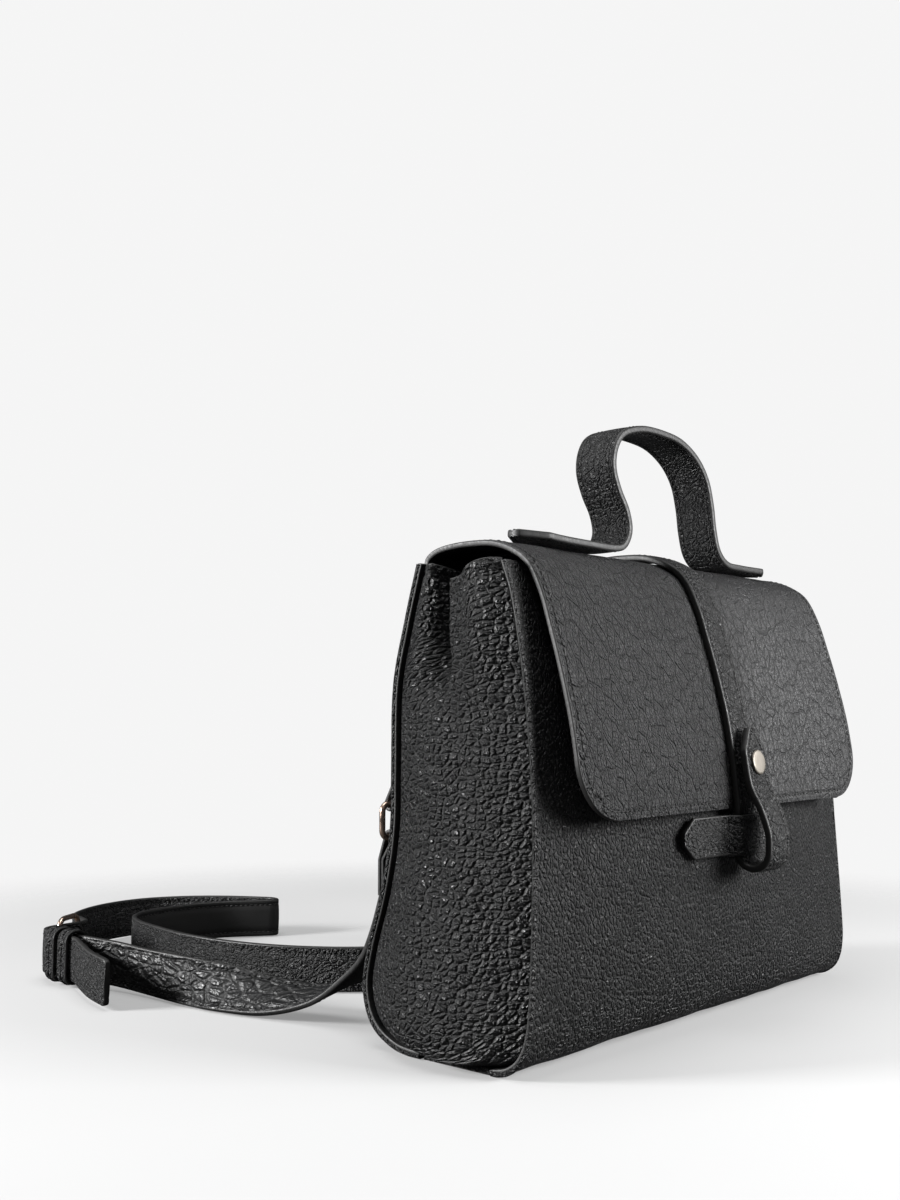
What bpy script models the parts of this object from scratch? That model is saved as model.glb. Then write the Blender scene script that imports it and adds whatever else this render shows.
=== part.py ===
"""A flap satchel handbag in grained leather, with a long buckled shoulder strap lying behind it.

Metres, +Z up. The front faces -Y, the bag is symmetric about X = 0, and the origin is on the
flat underside of the base. Each function makes one sub-part or one pair of matching sub-parts.
"""

import math

import bmesh
import bpy
import numpy as np
from mathutils import Vector

# Driving dimensions
GAP = 0.0004            # clearance kept between touching pieces
PANEL = 0.0028          # leather with its bonded backing
LINING = 0.0008         # lining cloth on a panel's inner face
LINING_LOW = 0.034
STRAP = 0.0035          # two-layer closure strap
TOP_HALF_WIDTH = 0.1435
BASE_HALF_WIDTH = 0.1515
FLARE_HEIGHT = 0.115    # the sides flare out below this height
BODY_TOP = 0.2290
FRONT_BULGE = 0.016
FLAP_HALF_WIDTH = 0.1355
FLAP_CORNER = 0.027     # radius of the flap's lower corners
CLOSURE_WIDTH = 0.020
HANDLE_WIDTH = 0.024
HANDLE_THICKNESS = 0.0036
HANDLE_Y = -0.012
SHOULDER_WIDTH = 0.025
SHOULDER_THICKNESS = 0.0030
RING_WIRE = 0.0015
RING_X = 0.127
RING_TOP = Vector((0.0, 0.0495, 0.1135))
RING_DROP = 0.016

# Profiles in the Y-Z plane, outer faces
FRONT_PROFILE = ((-0.0280, 0.2270), (-0.0330, 0.2130), (-0.0372, 0.1920), (-0.0410, 0.1650),
                 (-0.0440, 0.1300), (-0.0455, 0.0900), (-0.0465, 0.0450), (-0.0460, 0.0220),
                 (-0.0420, 0.0090), (-0.0345, 0.0025), (-0.0255, 0.0003))
BACK_PROFILE = ((0.0265, 0.2290), (0.0350, 0.2000), (0.0420, 0.1700), (0.0430, 0.1300),
                (0.0435, 0.1000), (0.0475, 0.0720), (0.0540, 0.0470), (0.0560, 0.0270),
                (0.0490, 0.0110), (0.0340, 0.0025), (0.0170, 0.0003))
FLAP_PROFILE = ((0.0290, 0.2330), (0.0225, 0.2370), (0.0120, 0.2388), (0.0000, 0.2392),
                (-0.0140, 0.2382), (-0.0260, 0.2340), (-0.0360, 0.2265), (-0.0435, 0.2120),
                (-0.0490, 0.1950), (-0.0545, 0.1760), (-0.0600, 0.1530), (-0.0635, 0.1300),
                (-0.0655, 0.1100))
CREST_Y = -0.0310       # the flap folds here, between its top and its front
FLAP_HINGE = Vector((0.0, 0.0300, 0.2312))

# Closure strap below the flap, and its snapped tongue, as centre lines in the Y-Z plane
CLOSURE_TAIL = ((-0.0668, 0.1010), (-0.0665, 0.0895))
LOOP_CENTRE = (-0.0755, 0.0895)
LOOP_RADIUS = 0.0090
LOOP_SPLIT = math.radians(235)  # where the tongue folds, as an angle about the loop's centre
TONGUE_RISE = ((-0.0842, 0.0985), (-0.0802, 0.1100), (-0.0754, 0.1190), (-0.0733, 0.1265),
               (-0.0715, 0.1385), (-0.0698, 0.1500))
SNAP_Z = 0.1325
SNAP_CAP_RADIUS = 0.00625
SNAP_LEAN = math.radians(8.6)   # the snap's axis leans up, square to the flap's face

# Handle centre line in the X-Z plane
HANDLE_ROUTE = ((-0.118, 0.2432), (-0.095, 0.2418), (-0.070, 0.2414), (-0.050, 0.2415),
                (-0.0410, 0.2438), (-0.0360, 0.2520), (-0.0385, 0.2620), (-0.0455, 0.2720),
                (-0.0500, 0.2830), (-0.0480, 0.2940), (-0.0400, 0.3025), (-0.0230, 0.3073),
                (-0.0040, 0.3080), (0.0150, 0.3060), (0.0310, 0.2990), (0.0415, 0.2885),
                (0.0465, 0.2750), (0.0490, 0.2610), (0.0535, 0.2490), (0.0630, 0.2424),
                (0.0780, 0.2414), (0.1000, 0.2414), (0.1180, 0.2416))

# Shoulder strap. Each point is (x, y, z of the centre line, then the strap's width direction)
SHORT_ROUTE = ((-0.127, 0.0550, 0.0690, 1.0, 0.0, 0.0), (-0.127, 0.0610, 0.0520, 1.0, 0.0, 0.0),
               (-0.126, 0.0710, 0.0370, 1.0, 0.1, 0.0), (-0.126, 0.0860, 0.0240, 1.0, 0.1, 0.0),
               (-0.130, 0.1070, 0.0130, 1.0, 0.3, 0.2), (-0.139, 0.1330, 0.0095, 0.8, 0.3, 0.55),
               (-0.149, 0.1600, 0.0115, 0.5, 0.2, 0.85), (-0.155, 0.1880, 0.0130, 0.2, 0.0, 1.0),
               (-0.157, 0.2180, 0.0138, 0.0, 0.0, 1.0), (-0.1590, 0.2440, 0.0150, 0.0, 0.0, 1.0),
               (-0.1650, 0.2610, 0.0165, 0.0, 0.0, 1.0), (-0.1683, 0.2760, 0.0172, 0.0, 0.0, 1.0),
               (-0.1690, 0.2930, 0.0177, 0.0, 0.0, 1.0), (-0.1630, 0.3030, 0.0177, 0.0, 0.0, 1.0))
TIP_ROUTE = ((-0.1920, 0.2070, 0.0145), (-0.1868, 0.2300, 0.0152), (-0.1793, 0.2510, 0.0162),
             (-0.1735, 0.2660, 0.0168), (-0.1724, 0.2790, 0.0173), (-0.1730, 0.2945, 0.0177),
             (-0.1697, 0.3040, 0.0177), (-0.1633, 0.3085, 0.0177))
LONG_ROUTE = ((-0.1515, 0.3097, 0.0177, 0.0, 0.0, 1.0), (-0.1380, 0.3124, 0.0176, 0.0, 0.0, 1.0),
              (-0.1290, 0.3290, 0.0165, 0.0, 0.0, 1.0), (-0.1160, 0.3580, 0.0145, 0.0, 0.0, 1.0),
              (-0.0930, 0.3780, 0.0138, 0.0, 0.0, 1.0), (-0.0660, 0.3895, 0.0134, 0.0, 0.0, 1.0),
              (-0.0380, 0.3905, 0.0132, 0.0, 0.0, 1.0), (-0.0120, 0.3790, 0.0130, 0.0, 0.0, 1.0),
              (0.0070, 0.3600, 0.0130, 0.0, 0.0, 1.0), (0.0200, 0.3390, 0.0130, 0.0, 0.0, 1.0),
              (0.0255, 0.3260, 0.0130, 0.0, 0.0, 1.0), (0.0205, 0.3180, 0.0130, 0.0, 0.0, 1.0),
              (0.0110, 0.3235, 0.0130, 0.0, 0.0, 1.0), (-0.0090, 0.3370, 0.0130, 0.0, 0.0, 1.0),
              (-0.0340, 0.3455, 0.0130, 0.0, 0.0, 1.0), (-0.0620, 0.3450, 0.0130, 0.0, 0.0, 1.0),
              (-0.0850, 0.3350, 0.0130, 0.0, 0.0, 1.0), (-0.0975, 0.3140, 0.0130, 0.0, 0.0, 1.0),
              (-0.1040, 0.2850, 0.0130, 0.0, 0.0, 1.0), (-0.1090, 0.2480, 0.0130, 0.0, 0.0, 1.0),
              (-0.1060, 0.2080, 0.0130, 0.0, 0.0, 1.0), (-0.0930, 0.1700, 0.0130, 0.0, 0.0, 1.0),
              (-0.0690, 0.1380, 0.0130, 0.0, 0.0, 1.0), (-0.0330, 0.1170, 0.0130, 0.0, 0.0, 1.0),
              (0.0100, 0.1080, 0.0130, 0.0, 0.0, 1.0), (0.0500, 0.1040, 0.0132, 0.1, 0.1, 1.0),
              (0.0840, 0.1000, 0.0140, 0.4, 0.3, 0.9), (0.1080, 0.0930, 0.0180, 0.8, 0.4, 0.5),
              (0.1220, 0.0810, 0.0280, 1.0, 0.3, 0.1), (0.1270, 0.0670, 0.0430, 1.0, 0.1, 0.0),
              (0.1270, 0.0590, 0.0570, 1.0, 0.0, 0.0), (0.1270, 0.0550, 0.0690, 1.0, 0.0, 0.0))
BUCKLE_BAR = Vector((-0.1605, 0.3050, 0.0177))
BUCKLE_FAR = Vector((-0.1405, 0.3160, 0.0177))
BUCKLE_HEIGHT = 0.0350
BUCKLE_WIRE = 0.0016

# Base colours and finishes: (red, green, blue), roughness, metallic
BLACK_LEATHER = ((0.022, 0.022, 0.023), 0.48, 0.0)
EDGE_LEATHER = ((0.035, 0.034, 0.034), 0.42, 0.0)
LINING_CLOTH = ((0.030, 0.028, 0.028), 0.90, 0.0)
BOARD = ((0.16, 0.13, 0.10), 0.85, 0.0)
NICKEL = ((0.66, 0.62, 0.57), 0.28, 1.0)
BRONZE = ((0.55, 0.45, 0.38), 0.30, 1.0)


def clear_scene():
    for thing in list(bpy.data.objects):
        bpy.data.objects.remove(thing, do_unlink=True)


def finish_object(name, mesh, look, parent=None):
    """Wrap a mesh as a named object with its own material, riding on an empty if one is given."""
    thing = bpy.data.objects.new(name, mesh)
    bpy.context.scene.collection.objects.link(thing)
    material = bpy.data.materials.new(name)
    material.use_nodes = True
    shader = material.node_tree.nodes["Principled BSDF"]
    colour, roughness, metallic = look
    shader.inputs["Base Color"].default_value = (*colour, 1.0)
    shader.inputs["Roughness"].default_value = roughness
    shader.inputs["Metallic"].default_value = metallic
    mesh.materials.append(material)
    mesh.shade_smooth()
    mesh.set_sharp_from_angle(angle=math.radians(40))
    if parent is not None:
        thing.parent = parent
        thing.matrix_parent_inverse = parent.matrix_world.inverted()
    return thing


def joint_empty(name, place):
    """An empty on a joint's axis. The pieces that the joint moves are its children."""
    empty = bpy.data.objects.new(name, None)
    empty.location = place
    bpy.context.scene.collection.objects.link(empty)
    bpy.context.view_layer.update()
    return empty


def smooth_curve(points, per_span=12):
    """A Catmull-Rom curve through the points, as a dense array."""
    given = np.array(points, dtype=float)
    padded = np.vstack([2 * given[0] - given[1], given, 2 * given[-1] - given[-2]])
    dense = []
    for i in range(1, len(padded) - 2):
        a, b, c, d = padded[i - 1:i + 3]
        for t in np.arange(per_span) / per_span:
            dense.append(0.5 * (2 * b + (c - a) * t + (2 * a - 5 * b + 4 * c - d) * t * t
                                + (3 * b - a - 3 * c + d) * t ** 3))
    return np.vstack([dense, given[-1]])


def even_points(dense, count):
    """The given number of points, evenly spaced along a dense curve."""
    steps = np.linalg.norm(np.diff(dense[:, :min(3, dense.shape[1])], axis=0), axis=1)
    travel = np.concatenate([[0.0], np.cumsum(steps)])
    wanted = np.linspace(0.0, travel[-1], count)
    return np.column_stack([np.interp(wanted, travel, column) for column in dense.T])


def offset_profile(profile, distance):
    """A Y-Z profile moved sideways: positive is to the right of its direction of travel."""
    tangent = np.gradient(profile, axis=0)
    tangent /= np.linalg.norm(tangent, axis=1)[:, None]
    return profile + distance * np.column_stack([tangent[:, 1], -tangent[:, 0]])


def half_width(z):
    return TOP_HALF_WIDTH + (BASE_HALF_WIDTH - TOP_HALF_WIDTH) * max(0.0, 1 - z / FLARE_HEIGHT) ** 1.3


def front_bulge(x, z):
    height = min(1.0, max(0.0, z / BODY_TOP))
    return FRONT_BULGE * (1 - (x / half_width(z)) ** 2) * math.sin(math.pi * height ** 0.8)


def sheet_mesh(name, rows, thickness, flip=False):
    """A closed sheet from rows of outer points. Its thickness goes to the inner side."""
    bm = bmesh.new()
    grid = [[bm.verts.new(p) for p in row] for row in rows]
    for lower, upper in zip(grid, grid[1:]):
        for i in range(len(lower) - 1):
            corners = (lower[i], lower[i + 1], upper[i + 1], upper[i])
            bm.faces.new(corners[::-1] if flip else corners)
    bm.normal_update()
    outer = list(bm.verts)
    inner = {v: bm.verts.new(v.co - v.normal * thickness * v.calc_shell_factor()) for v in outer}
    rim = [e for e in bm.edges if len(e.link_faces) == 1]
    for edge in rim:
        loop = edge.link_loops[0]
        a, b = loop.vert, loop.link_loop_next.vert
        bm.faces.new((b, a, inner[a], inner[b]))
    for face in [f for f in bm.faces if all(v in inner for v in f.verts)]:
        bm.faces.new([inner[v] for v in reversed(face.verts)])
    mesh = bpy.data.meshes.new(name)
    bm.to_mesh(mesh)
    bm.free()
    return mesh


def ribbon_mesh(name, centres, halves, thickness):
    """A flat strap: a row of cross-sections along its centre line, with closed ends."""
    centres = np.array(centres, dtype=float)
    halves = np.array(halves, dtype=float)
    travel = np.gradient(centres, axis=0)
    bm = bmesh.new()
    rings = []
    for centre, half, along in zip(centres, halves, travel):
        normal = Vector(np.cross(half, along)).normalized() * (thickness / 2)
        middle, side = Vector(centre), Vector(half)
        corners = (middle - side - normal, middle + side - normal,
                   middle + side + normal, middle - side + normal)
        rings.append([bm.verts.new(c) for c in corners])
    for first, second in zip(rings, rings[1:]):
        for i in range(4):
            j = (i + 1) % 4
            bm.faces.new((first[i], first[j], second[j], second[i]))
    bm.faces.new(rings[0][::-1])
    bm.faces.new(rings[-1])
    bmesh.ops.recalc_face_normals(bm, faces=bm.faces)
    mesh = bpy.data.meshes.new(name)
    bm.to_mesh(mesh)
    bm.free()
    return mesh


def wire_mesh(name, path, radius, closed, sides=8):
    """A round wire along a path, in one closed body."""
    points = np.array(path, dtype=float)
    if closed:
        travel = np.roll(points, -1, axis=0) - np.roll(points, 1, axis=0)
    else:
        travel = np.gradient(points, axis=0)
    flat = np.linalg.svd(points - points.mean(axis=0))[2][2]
    bm = bmesh.new()
    rings = []
    for point, along in zip(points, travel):
        across = Vector(np.cross(flat, along)).normalized()
        out = Vector(flat)
        turn = [2 * math.pi * k / sides for k in range(sides)]
        rings.append([bm.verts.new(Vector(point) + radius * (math.cos(a) * across
                                                             + math.sin(a) * out)) for a in turn])
    pairs = list(zip(rings, rings[1:]))
    if closed:
        pairs.append((rings[-1], rings[0]))
    else:
        bm.faces.new(rings[0][::-1])
        bm.faces.new(rings[-1])
    for first, second in pairs:
        for i in range(sides):
            j = (i + 1) % sides
            bm.faces.new((first[i], first[j], second[j], second[i]))
    bmesh.ops.recalc_face_normals(bm, faces=bm.faces)
    mesh = bpy.data.meshes.new(name)
    bm.to_mesh(mesh)
    bm.free()
    return mesh


def snap_point(place, radius, out, angle):
    """A point round a snap part's axis, which leans up with the flap's face."""
    axis = Vector((0.0, -math.cos(SNAP_LEAN), math.sin(SNAP_LEAN)))
    rise = Vector((0.0, math.sin(SNAP_LEAN), math.cos(SNAP_LEAN)))
    across = Vector((math.cos(angle), 0.0, 0.0))
    return place + axis * out + radius * (across + rise * math.sin(angle))


def turned_mesh(name, outline, place, sides=20):
    """A turned snap part. The outline is (radius, distance out), from back to front."""
    bm = bmesh.new()
    rings = []
    for radius, out in outline:
        rings.append([bm.verts.new(snap_point(place, radius, out, 2 * math.pi * k / sides))
                      for k in range(sides)])
    for first, second in zip(rings, rings[1:]):
        for i in range(sides):
            j = (i + 1) % sides
            bm.faces.new((first[i], first[j], second[j], second[i]))
    bm.faces.new(rings[0][::-1])
    bm.faces.new(rings[-1])
    bmesh.ops.recalc_face_normals(bm, faces=bm.faces)
    mesh = bpy.data.meshes.new(name)
    bm.to_mesh(mesh)
    bm.free()
    return mesh


def wall_rows(profile, count, inset=0.0, bulge=True, columns=13, top_trim=0.0, side_trim=0.0):
    """Rows of points across a front or back wall, from its top down."""
    dense = offset_profile(smooth_curve(profile), inset)
    dense = dense[dense[:, 1] <= BODY_TOP - top_trim]
    rows = []
    for y, z in even_points(dense, count):
        reach = half_width(z) - side_trim
        across = np.linspace(-reach, reach, columns)
        rows.append([(x, y - (front_bulge(x, z) if bulge else 0.0), z) for x in across])
    return rows


def make_walls():
    """Front and back panels wrap down to the base panel, each with its lining inside."""
    front = wall_rows(FRONT_PROFILE, 20)
    finish_object("front_panel", sheet_mesh("front_panel", front, PANEL, flip=True), BLACK_LEATHER)
    back = wall_rows(BACK_PROFILE, 20, bulge=False)
    finish_object("back_panel", sheet_mesh("back_panel", back, PANEL), BLACK_LEATHER)
    behind = PANEL + 3 * GAP
    front = wall_rows(FRONT_PROFILE, 14, -behind, top_trim=0.004, side_trim=0.010, columns=9)
    front = [row for row in front if row[0][2] > LINING_LOW]
    finish_object("front_lining", sheet_mesh("front_lining", front, LINING, flip=True), LINING_CLOTH)
    back = wall_rows(BACK_PROFILE, 14, behind, bulge=False, top_trim=0.004, side_trim=0.010, columns=9)
    back = [row for row in back if row[0][2] > LINING_LOW]
    finish_object("back_lining", sheet_mesh("back_lining", back, LINING), LINING_CLOTH)


def box_mesh(name, low, high):
    bm = bmesh.new()
    bmesh.ops.create_cube(bm, size=1.0)
    low, high = Vector(low), Vector(high)
    for v in bm.verts:
        v.co = Vector(low[i] + (v.co[i] + 0.5) * (high[i] - low[i]) for i in range(3))
    mesh = bpy.data.meshes.new(name)
    bm.to_mesh(mesh)
    bm.free()
    return mesh


def make_base():
    """A flat bottom strip between the two walls, and a stiffening board on top of it."""
    front = FRONT_PROFILE[-1][0] + 3 * GAP
    back = BACK_PROFILE[-1][0] - 3 * GAP
    reach = BASE_HALF_WIDTH - 0.001
    base = box_mesh("base_panel", (-reach, front, 0.0), (reach, back, PANEL))
    finish_object("base_panel", base, BLACK_LEATHER)
    board = box_mesh("base_board", (-0.132, front - 0.004, 0.0048), (0.132, back + 0.008, 0.0068))
    finish_object("base_board", board, BOARD)


def make_gussets():
    """Side walls set between the front and back panels, folded inwards by a pleat at the top."""
    inset = PANEL + 3 * GAP
    front = offset_profile(smooth_curve(FRONT_PROFILE), -inset)[::-1]
    back = offset_profile(smooth_curve(BACK_PROFILE), inset)[::-1]
    low = inset + GAP
    heights = np.concatenate([low + 0.020 * np.linspace(0.0, 1.0, 7)[:-1] ** 2,
                              np.linspace(low + 0.020, BODY_TOP - 0.001, 15)])
    stations = (0.0, 0.12, 0.27, 0.42, 0.505, 0.555, 0.605, 0.70, 0.85, 1.0)
    for name, side in (("gusset_left", -1), ("gusset_right", 1)):
        rows = []
        for z in heights:
            y0 = np.interp(z, front[:, 1], front[:, 0])
            y1 = np.interp(z, back[:, 1], back[:, 0])
            fold = min(1.0, max(0.0, (z - 0.160) / 0.065))
            depth = 0.024 * fold * fold * (3 - 2 * fold)
            row = []
            for t in stations:
                swell = 4 * t * (1 - t)
                under = math.sin(math.pi / 2 * min(1.0, 0.25 + z / 0.024))
                out = (0.013 * math.exp(-(z / 0.110) ** 2) + 0.005) * swell * under
                pleat = depth * max(0.0, 1 - abs(t - 0.555) / 0.05)
                row.append((side * (half_width(z) - 0.0015 + out - pleat), y0 + (y1 - y0) * t, z))
            rows.append(row)
        mesh = sheet_mesh(name, rows, PANEL - 0.0008, flip=side < 0)
        finish_object(name, mesh, BLACK_LEATHER)


def flap_width(distance):
    """Half width at a distance from the flap's lower edge, with its corners rounded."""
    if distance >= FLAP_CORNER:
        return FLAP_HALF_WIDTH
    rise = FLAP_CORNER - distance
    return FLAP_HALF_WIDTH - FLAP_CORNER + math.sqrt(FLAP_CORNER ** 2 - rise ** 2)


def flap_curve():
    """The flap's dense outer profile, with the index at which it folds."""
    dense = smooth_curve(FLAP_PROFILE)
    split = int(np.argmin(np.abs(dense[:, 0] - CREST_Y)))
    return dense, split


def make_flap(top_parent, front_parent):
    """The flap in three pieces: a tail on the back panel, the top, and the front."""
    tail = offset_profile(smooth_curve(BACK_PROFILE), -(PANEL + GAP))
    tail = tail[(tail[:, 1] > 0.190) & (tail[:, 1] < 0.2290)]
    across = np.linspace(-FLAP_HALF_WIDTH, FLAP_HALF_WIDTH, 7)
    rows = [[(x, y, z) for x in across] for y, z in even_points(tail, 4)]
    finish_object("flap_tail", sheet_mesh("flap_tail", rows, PANEL - 0.0004), BLACK_LEATHER)
    dense, split = flap_curve()
    rows = [[(x, y, z) for x in across] for y, z in even_points(dense[:split + 1], 12)]
    mesh = sheet_mesh("flap_top", rows, PANEL, flip=True)
    finish_object("flap_top", mesh, BLACK_LEATHER, top_parent)
    lower = dense[split:].copy()
    lower[0] += (lower[1] - lower[0]) * (3 * GAP / np.linalg.norm(lower[1] - lower[0]))
    length = np.linalg.norm(np.diff(lower, axis=0), axis=1).sum()
    shares = np.concatenate([np.linspace(0.0, 0.80, 11), [0.84, 0.88, 0.92, 0.95, 0.975, 0.99, 1.0]])
    travel = np.concatenate([[0.0], np.cumsum(np.linalg.norm(np.diff(lower, axis=0), axis=1))])
    rows = []
    for share in shares:
        y, z = (np.interp(share * length, travel, lower[:, k]) for k in (0, 1))
        reach = flap_width((1 - share) * length)
        rows.append([(x, y, z) for x in np.linspace(-reach, reach, 9)])
    mesh = sheet_mesh("flap_front", rows, PANEL, flip=True)
    finish_object("flap_front", mesh, BLACK_LEATHER, front_parent)


def closure_loop(start, stop, count):
    """Points of the fold at the bottom of the closure strap, between two angles."""
    return [(LOOP_CENTRE[0] + LOOP_RADIUS * math.cos(a), LOOP_CENTRE[1] + LOOP_RADIUS * math.sin(a))
            for a in np.linspace(start, stop, count)]


def strap_piece(name, line, count, parent, pointed=False):
    """A stretch of the closure strap from its centre line in the Y-Z plane."""
    points = even_points(np.array(line), count)
    halves = [(CLOSURE_WIDTH / 2, 0.0, 0.0)] * count
    if pointed:
        halves[-1] = (CLOSURE_WIDTH * 0.18, 0.0, 0.0)
    centres = [(0.0, y, z) for y, z in points]
    finish_object(name, ribbon_mesh(name, centres, halves, STRAP), EDGE_LEATHER, parent)


def make_closure(top_parent, front_parent, tongue_parent):
    """The closure strap over the flap's top, down its front, and its folded-up snap tongue."""
    dense, split = flap_curve()
    centre = offset_profile(dense, GAP + STRAP / 2)
    start = int(np.argmin(np.abs(dense[:, 0] - 0.0160)))
    strap_piece("closure_strap_top", centre[start:split], 9, top_parent)
    down = np.vstack([centre[split + 1:], smooth_curve([centre[-1]] + list(CLOSURE_TAIL)),
                      closure_loop(0.0 + 2 * math.pi, LOOP_SPLIT + 0.06, 9)])
    strap_piece("closure_strap", down, 34, front_parent)
    rise = smooth_curve([closure_loop(math.pi, math.pi, 1)[0]] + list(TONGUE_RISE))
    up = np.vstack([closure_loop(LOOP_SPLIT - 0.06, math.pi, 5)[:-1], rise])
    strap_piece("closure_tongue", up, 20, tongue_parent, pointed=True)


def make_snap(front_parent, tongue_parent):
    """A four-part press snap: cap and socket on the tongue, stud and back plate on the flap."""
    tongue = smooth_curve(TONGUE_RISE)
    tongue_y = float(np.interp(SNAP_Z, tongue[:, 1], tongue[:, 0]))
    dense, split = flap_curve()
    flap_y = float(np.interp(-SNAP_Z, -dense[split:, 1], dense[split:, 0]))
    strap_face = flap_y - 2 * GAP - STRAP
    front_face = tongue_y - STRAP / 2
    back_face = tongue_y + STRAP / 2
    cap = ((0.0058, 0.0004), (SNAP_CAP_RADIUS, 0.0007), (SNAP_CAP_RADIUS, 0.0010), (0.0052, 0.0016),
           (0.0030, 0.0020))
    mesh = turned_mesh("snap_cap", cap, Vector((0.0, front_face, SNAP_Z)))
    finish_object("snap_cap", mesh, NICKEL, tongue_parent)
    socket = ((0.0024, 0.0), (0.0052, 0.0), (0.0056, 0.0005), (0.0050, 0.0013), (0.0024, 0.0013),
              (0.0024, 0.0))
    mesh = ring_mesh("snap_socket", socket[:-1], Vector((0.0, back_face + 0.0018, SNAP_Z)))
    finish_object("snap_socket", mesh, NICKEL, tongue_parent)
    stud = ((0.0048, 0.0004), (0.0048, 0.0009), (0.0016, 0.0011), (0.0018, 0.0018), (0.0012, 0.0022))
    mesh = turned_mesh("snap_stud", stud, Vector((0.0, strap_face, SNAP_Z)))
    finish_object("snap_stud", mesh, NICKEL, front_parent)
    plate = ((0.0052, -0.0010), (0.0055, -0.0006), (0.0055, -0.0003), (0.0050, -0.0002))
    mesh = turned_mesh("snap_back_plate", plate, Vector((0.0, flap_y + PANEL + 0.0005, SNAP_Z)))
    finish_object("snap_back_plate", mesh, NICKEL, front_parent)


def ring_mesh(name, outline, place, sides=20):
    """A turned snap ring, from a closed outline of (radius, distance out)."""
    bm = bmesh.new()
    rings = []
    for radius, out in outline:
        rings.append([bm.verts.new(snap_point(place, radius, out, 2 * math.pi * k / sides))
                      for k in range(sides)])
    for first, second in zip(rings, rings[1:] + rings[:1]):
        for i in range(sides):
            j = (i + 1) % sides
            bm.faces.new((first[i], first[j], second[j], second[i]))
    bmesh.ops.recalc_face_normals(bm, faces=bm.faces)
    mesh = bpy.data.meshes.new(name)
    bm.to_mesh(mesh)
    bm.free()
    return mesh


def make_front_keeper():
    """A pointed leather strip on the front panel, raised over the closure strap."""
    height, thickness, middle = 0.0200, 0.0024, 0.0968
    crown = -0.0674 - STRAP / 2 - GAP - thickness / 2
    half_line = ((0.0505, 0.0), (0.0420, 0.0), (0.0300, 0.0), (0.0190, 0.0), (0.0145, 0.25),
                 (0.0118, 0.80), (0.0095, 1.0), (0.0, 1.0))
    xs = [(-x, lift) for x, lift in half_line] + [(x, lift) for x, lift in half_line[-2::-1]]
    centres, halves = [], []
    for x, lift in xs:
        wall = np.interp(middle, *wall_heights(x)) - GAP - thickness / 2 - 0.0007
        centres.append((x, wall + (crown - wall) * lift, middle))
        halves.append((0.0, 0.0, height / 2 if abs(x) < 0.048 else height * 0.16))
    mesh = ribbon_mesh("front_keeper", centres, halves, thickness)
    finish_object("front_keeper", mesh, EDGE_LEATHER)


def wall_heights(x):
    """Heights and outer Y of the front panel at one X, lowest first."""
    dense = smooth_curve(FRONT_PROFILE)[::-1]
    return dense[:, 1], [y - front_bulge(x, z) for y, z in dense]


def make_handle(parent):
    """One strap with both ends lying on the flap, and leather backings under them."""
    line = even_points(smooth_curve(HANDLE_ROUTE), 56)
    centres = [(x, HANDLE_Y, z) for x, z in line]
    halves = [(0.0, HANDLE_WIDTH / 2, 0.0)] * len(line)
    halves[0] = halves[-1] = (0.0, HANDLE_WIDTH * 0.16, 0.0)
    mesh = ribbon_mesh("handle", centres, halves, HANDLE_THICKNESS)
    finish_object("handle", mesh, EDGE_LEATHER, parent)
    for name, side in (("handle_backing_left", -1), ("handle_backing_right", 1)):
        low = (side * 0.087 - 0.026, -0.0120, 0.2334)
        high = (side * 0.087 + 0.026, 0.0080, 0.2346)
        finish_object(name, box_mesh(name, low, high), EDGE_LEATHER, parent)


def fold_line(bar, radius, end_y, end_z, up):
    """Centre line of a strap folded round a bar: down one face, round, and up the other."""
    y, z = bar
    start, stop = (math.pi, 2 * math.pi) if up else (math.pi, 0.0)
    arc = [(y + radius * math.cos(a), z + radius * math.sin(a)) for a in np.linspace(start, stop, 9)]
    reach = 0.0070 if up else -0.0070
    inner, outer = end_y
    return [(inner, end_z), (inner, z + reach * 1.6)] + arc + [(outer, z + reach * 1.6), (outer, end_z)]


def make_ring_side(side, word, parent):
    """An anchor tab on the back panel, the ring that hangs in it, and the strap end in the ring."""
    x = side * RING_X
    width = SHOULDER_WIDTH / 2
    thickness = 0.0018
    bar = (RING_TOP.y, RING_TOP.z)
    line = fold_line(bar, RING_WIRE + GAP + thickness / 2, (0.0440, 0.0462), 0.1440, True)
    points = even_points(np.array(line), 26)
    name = f"anchor_tab_{word}"
    mesh = ribbon_mesh(name, [(x, y, z) for y, z in points], [(width, 0, 0)] * 26, thickness)
    finish_object(name, mesh, EDGE_LEATHER)
    low_bar = (RING_TOP.y, RING_TOP.z - RING_DROP)
    line = fold_line(low_bar, RING_WIRE + GAP + thickness / 2, (0.0540, 0.0562), 0.0712, False)
    points = even_points(np.array(line), 26)
    name = f"strap_end_{word}"
    mesh = ribbon_mesh(name, [(x, y, z) for y, z in points], [(width, 0, 0)] * 26, thickness)
    finish_object(name, mesh, EDGE_LEATHER, parent)
    corner, reach = 0.0035, width + 0.0045
    path = []
    for cx, cz, first in ((1, 0, 0), (-1, 0, 90), (-1, -1, 180), (1, -1, 270)):
        middle = (x + cx * (reach - corner), RING_TOP.z + (-corner if cz == 0 else corner - RING_DROP))
        for angle in np.radians(np.linspace(first, first + 90, 4)):
            path.append((middle[0] + corner * math.cos(angle), RING_TOP.y,
                         middle[1] + corner * math.sin(angle)))
    name = f"ring_{word}"
    finish_object(name, wire_mesh(name, path, RING_WIRE, True), BRONZE, parent)


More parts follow.
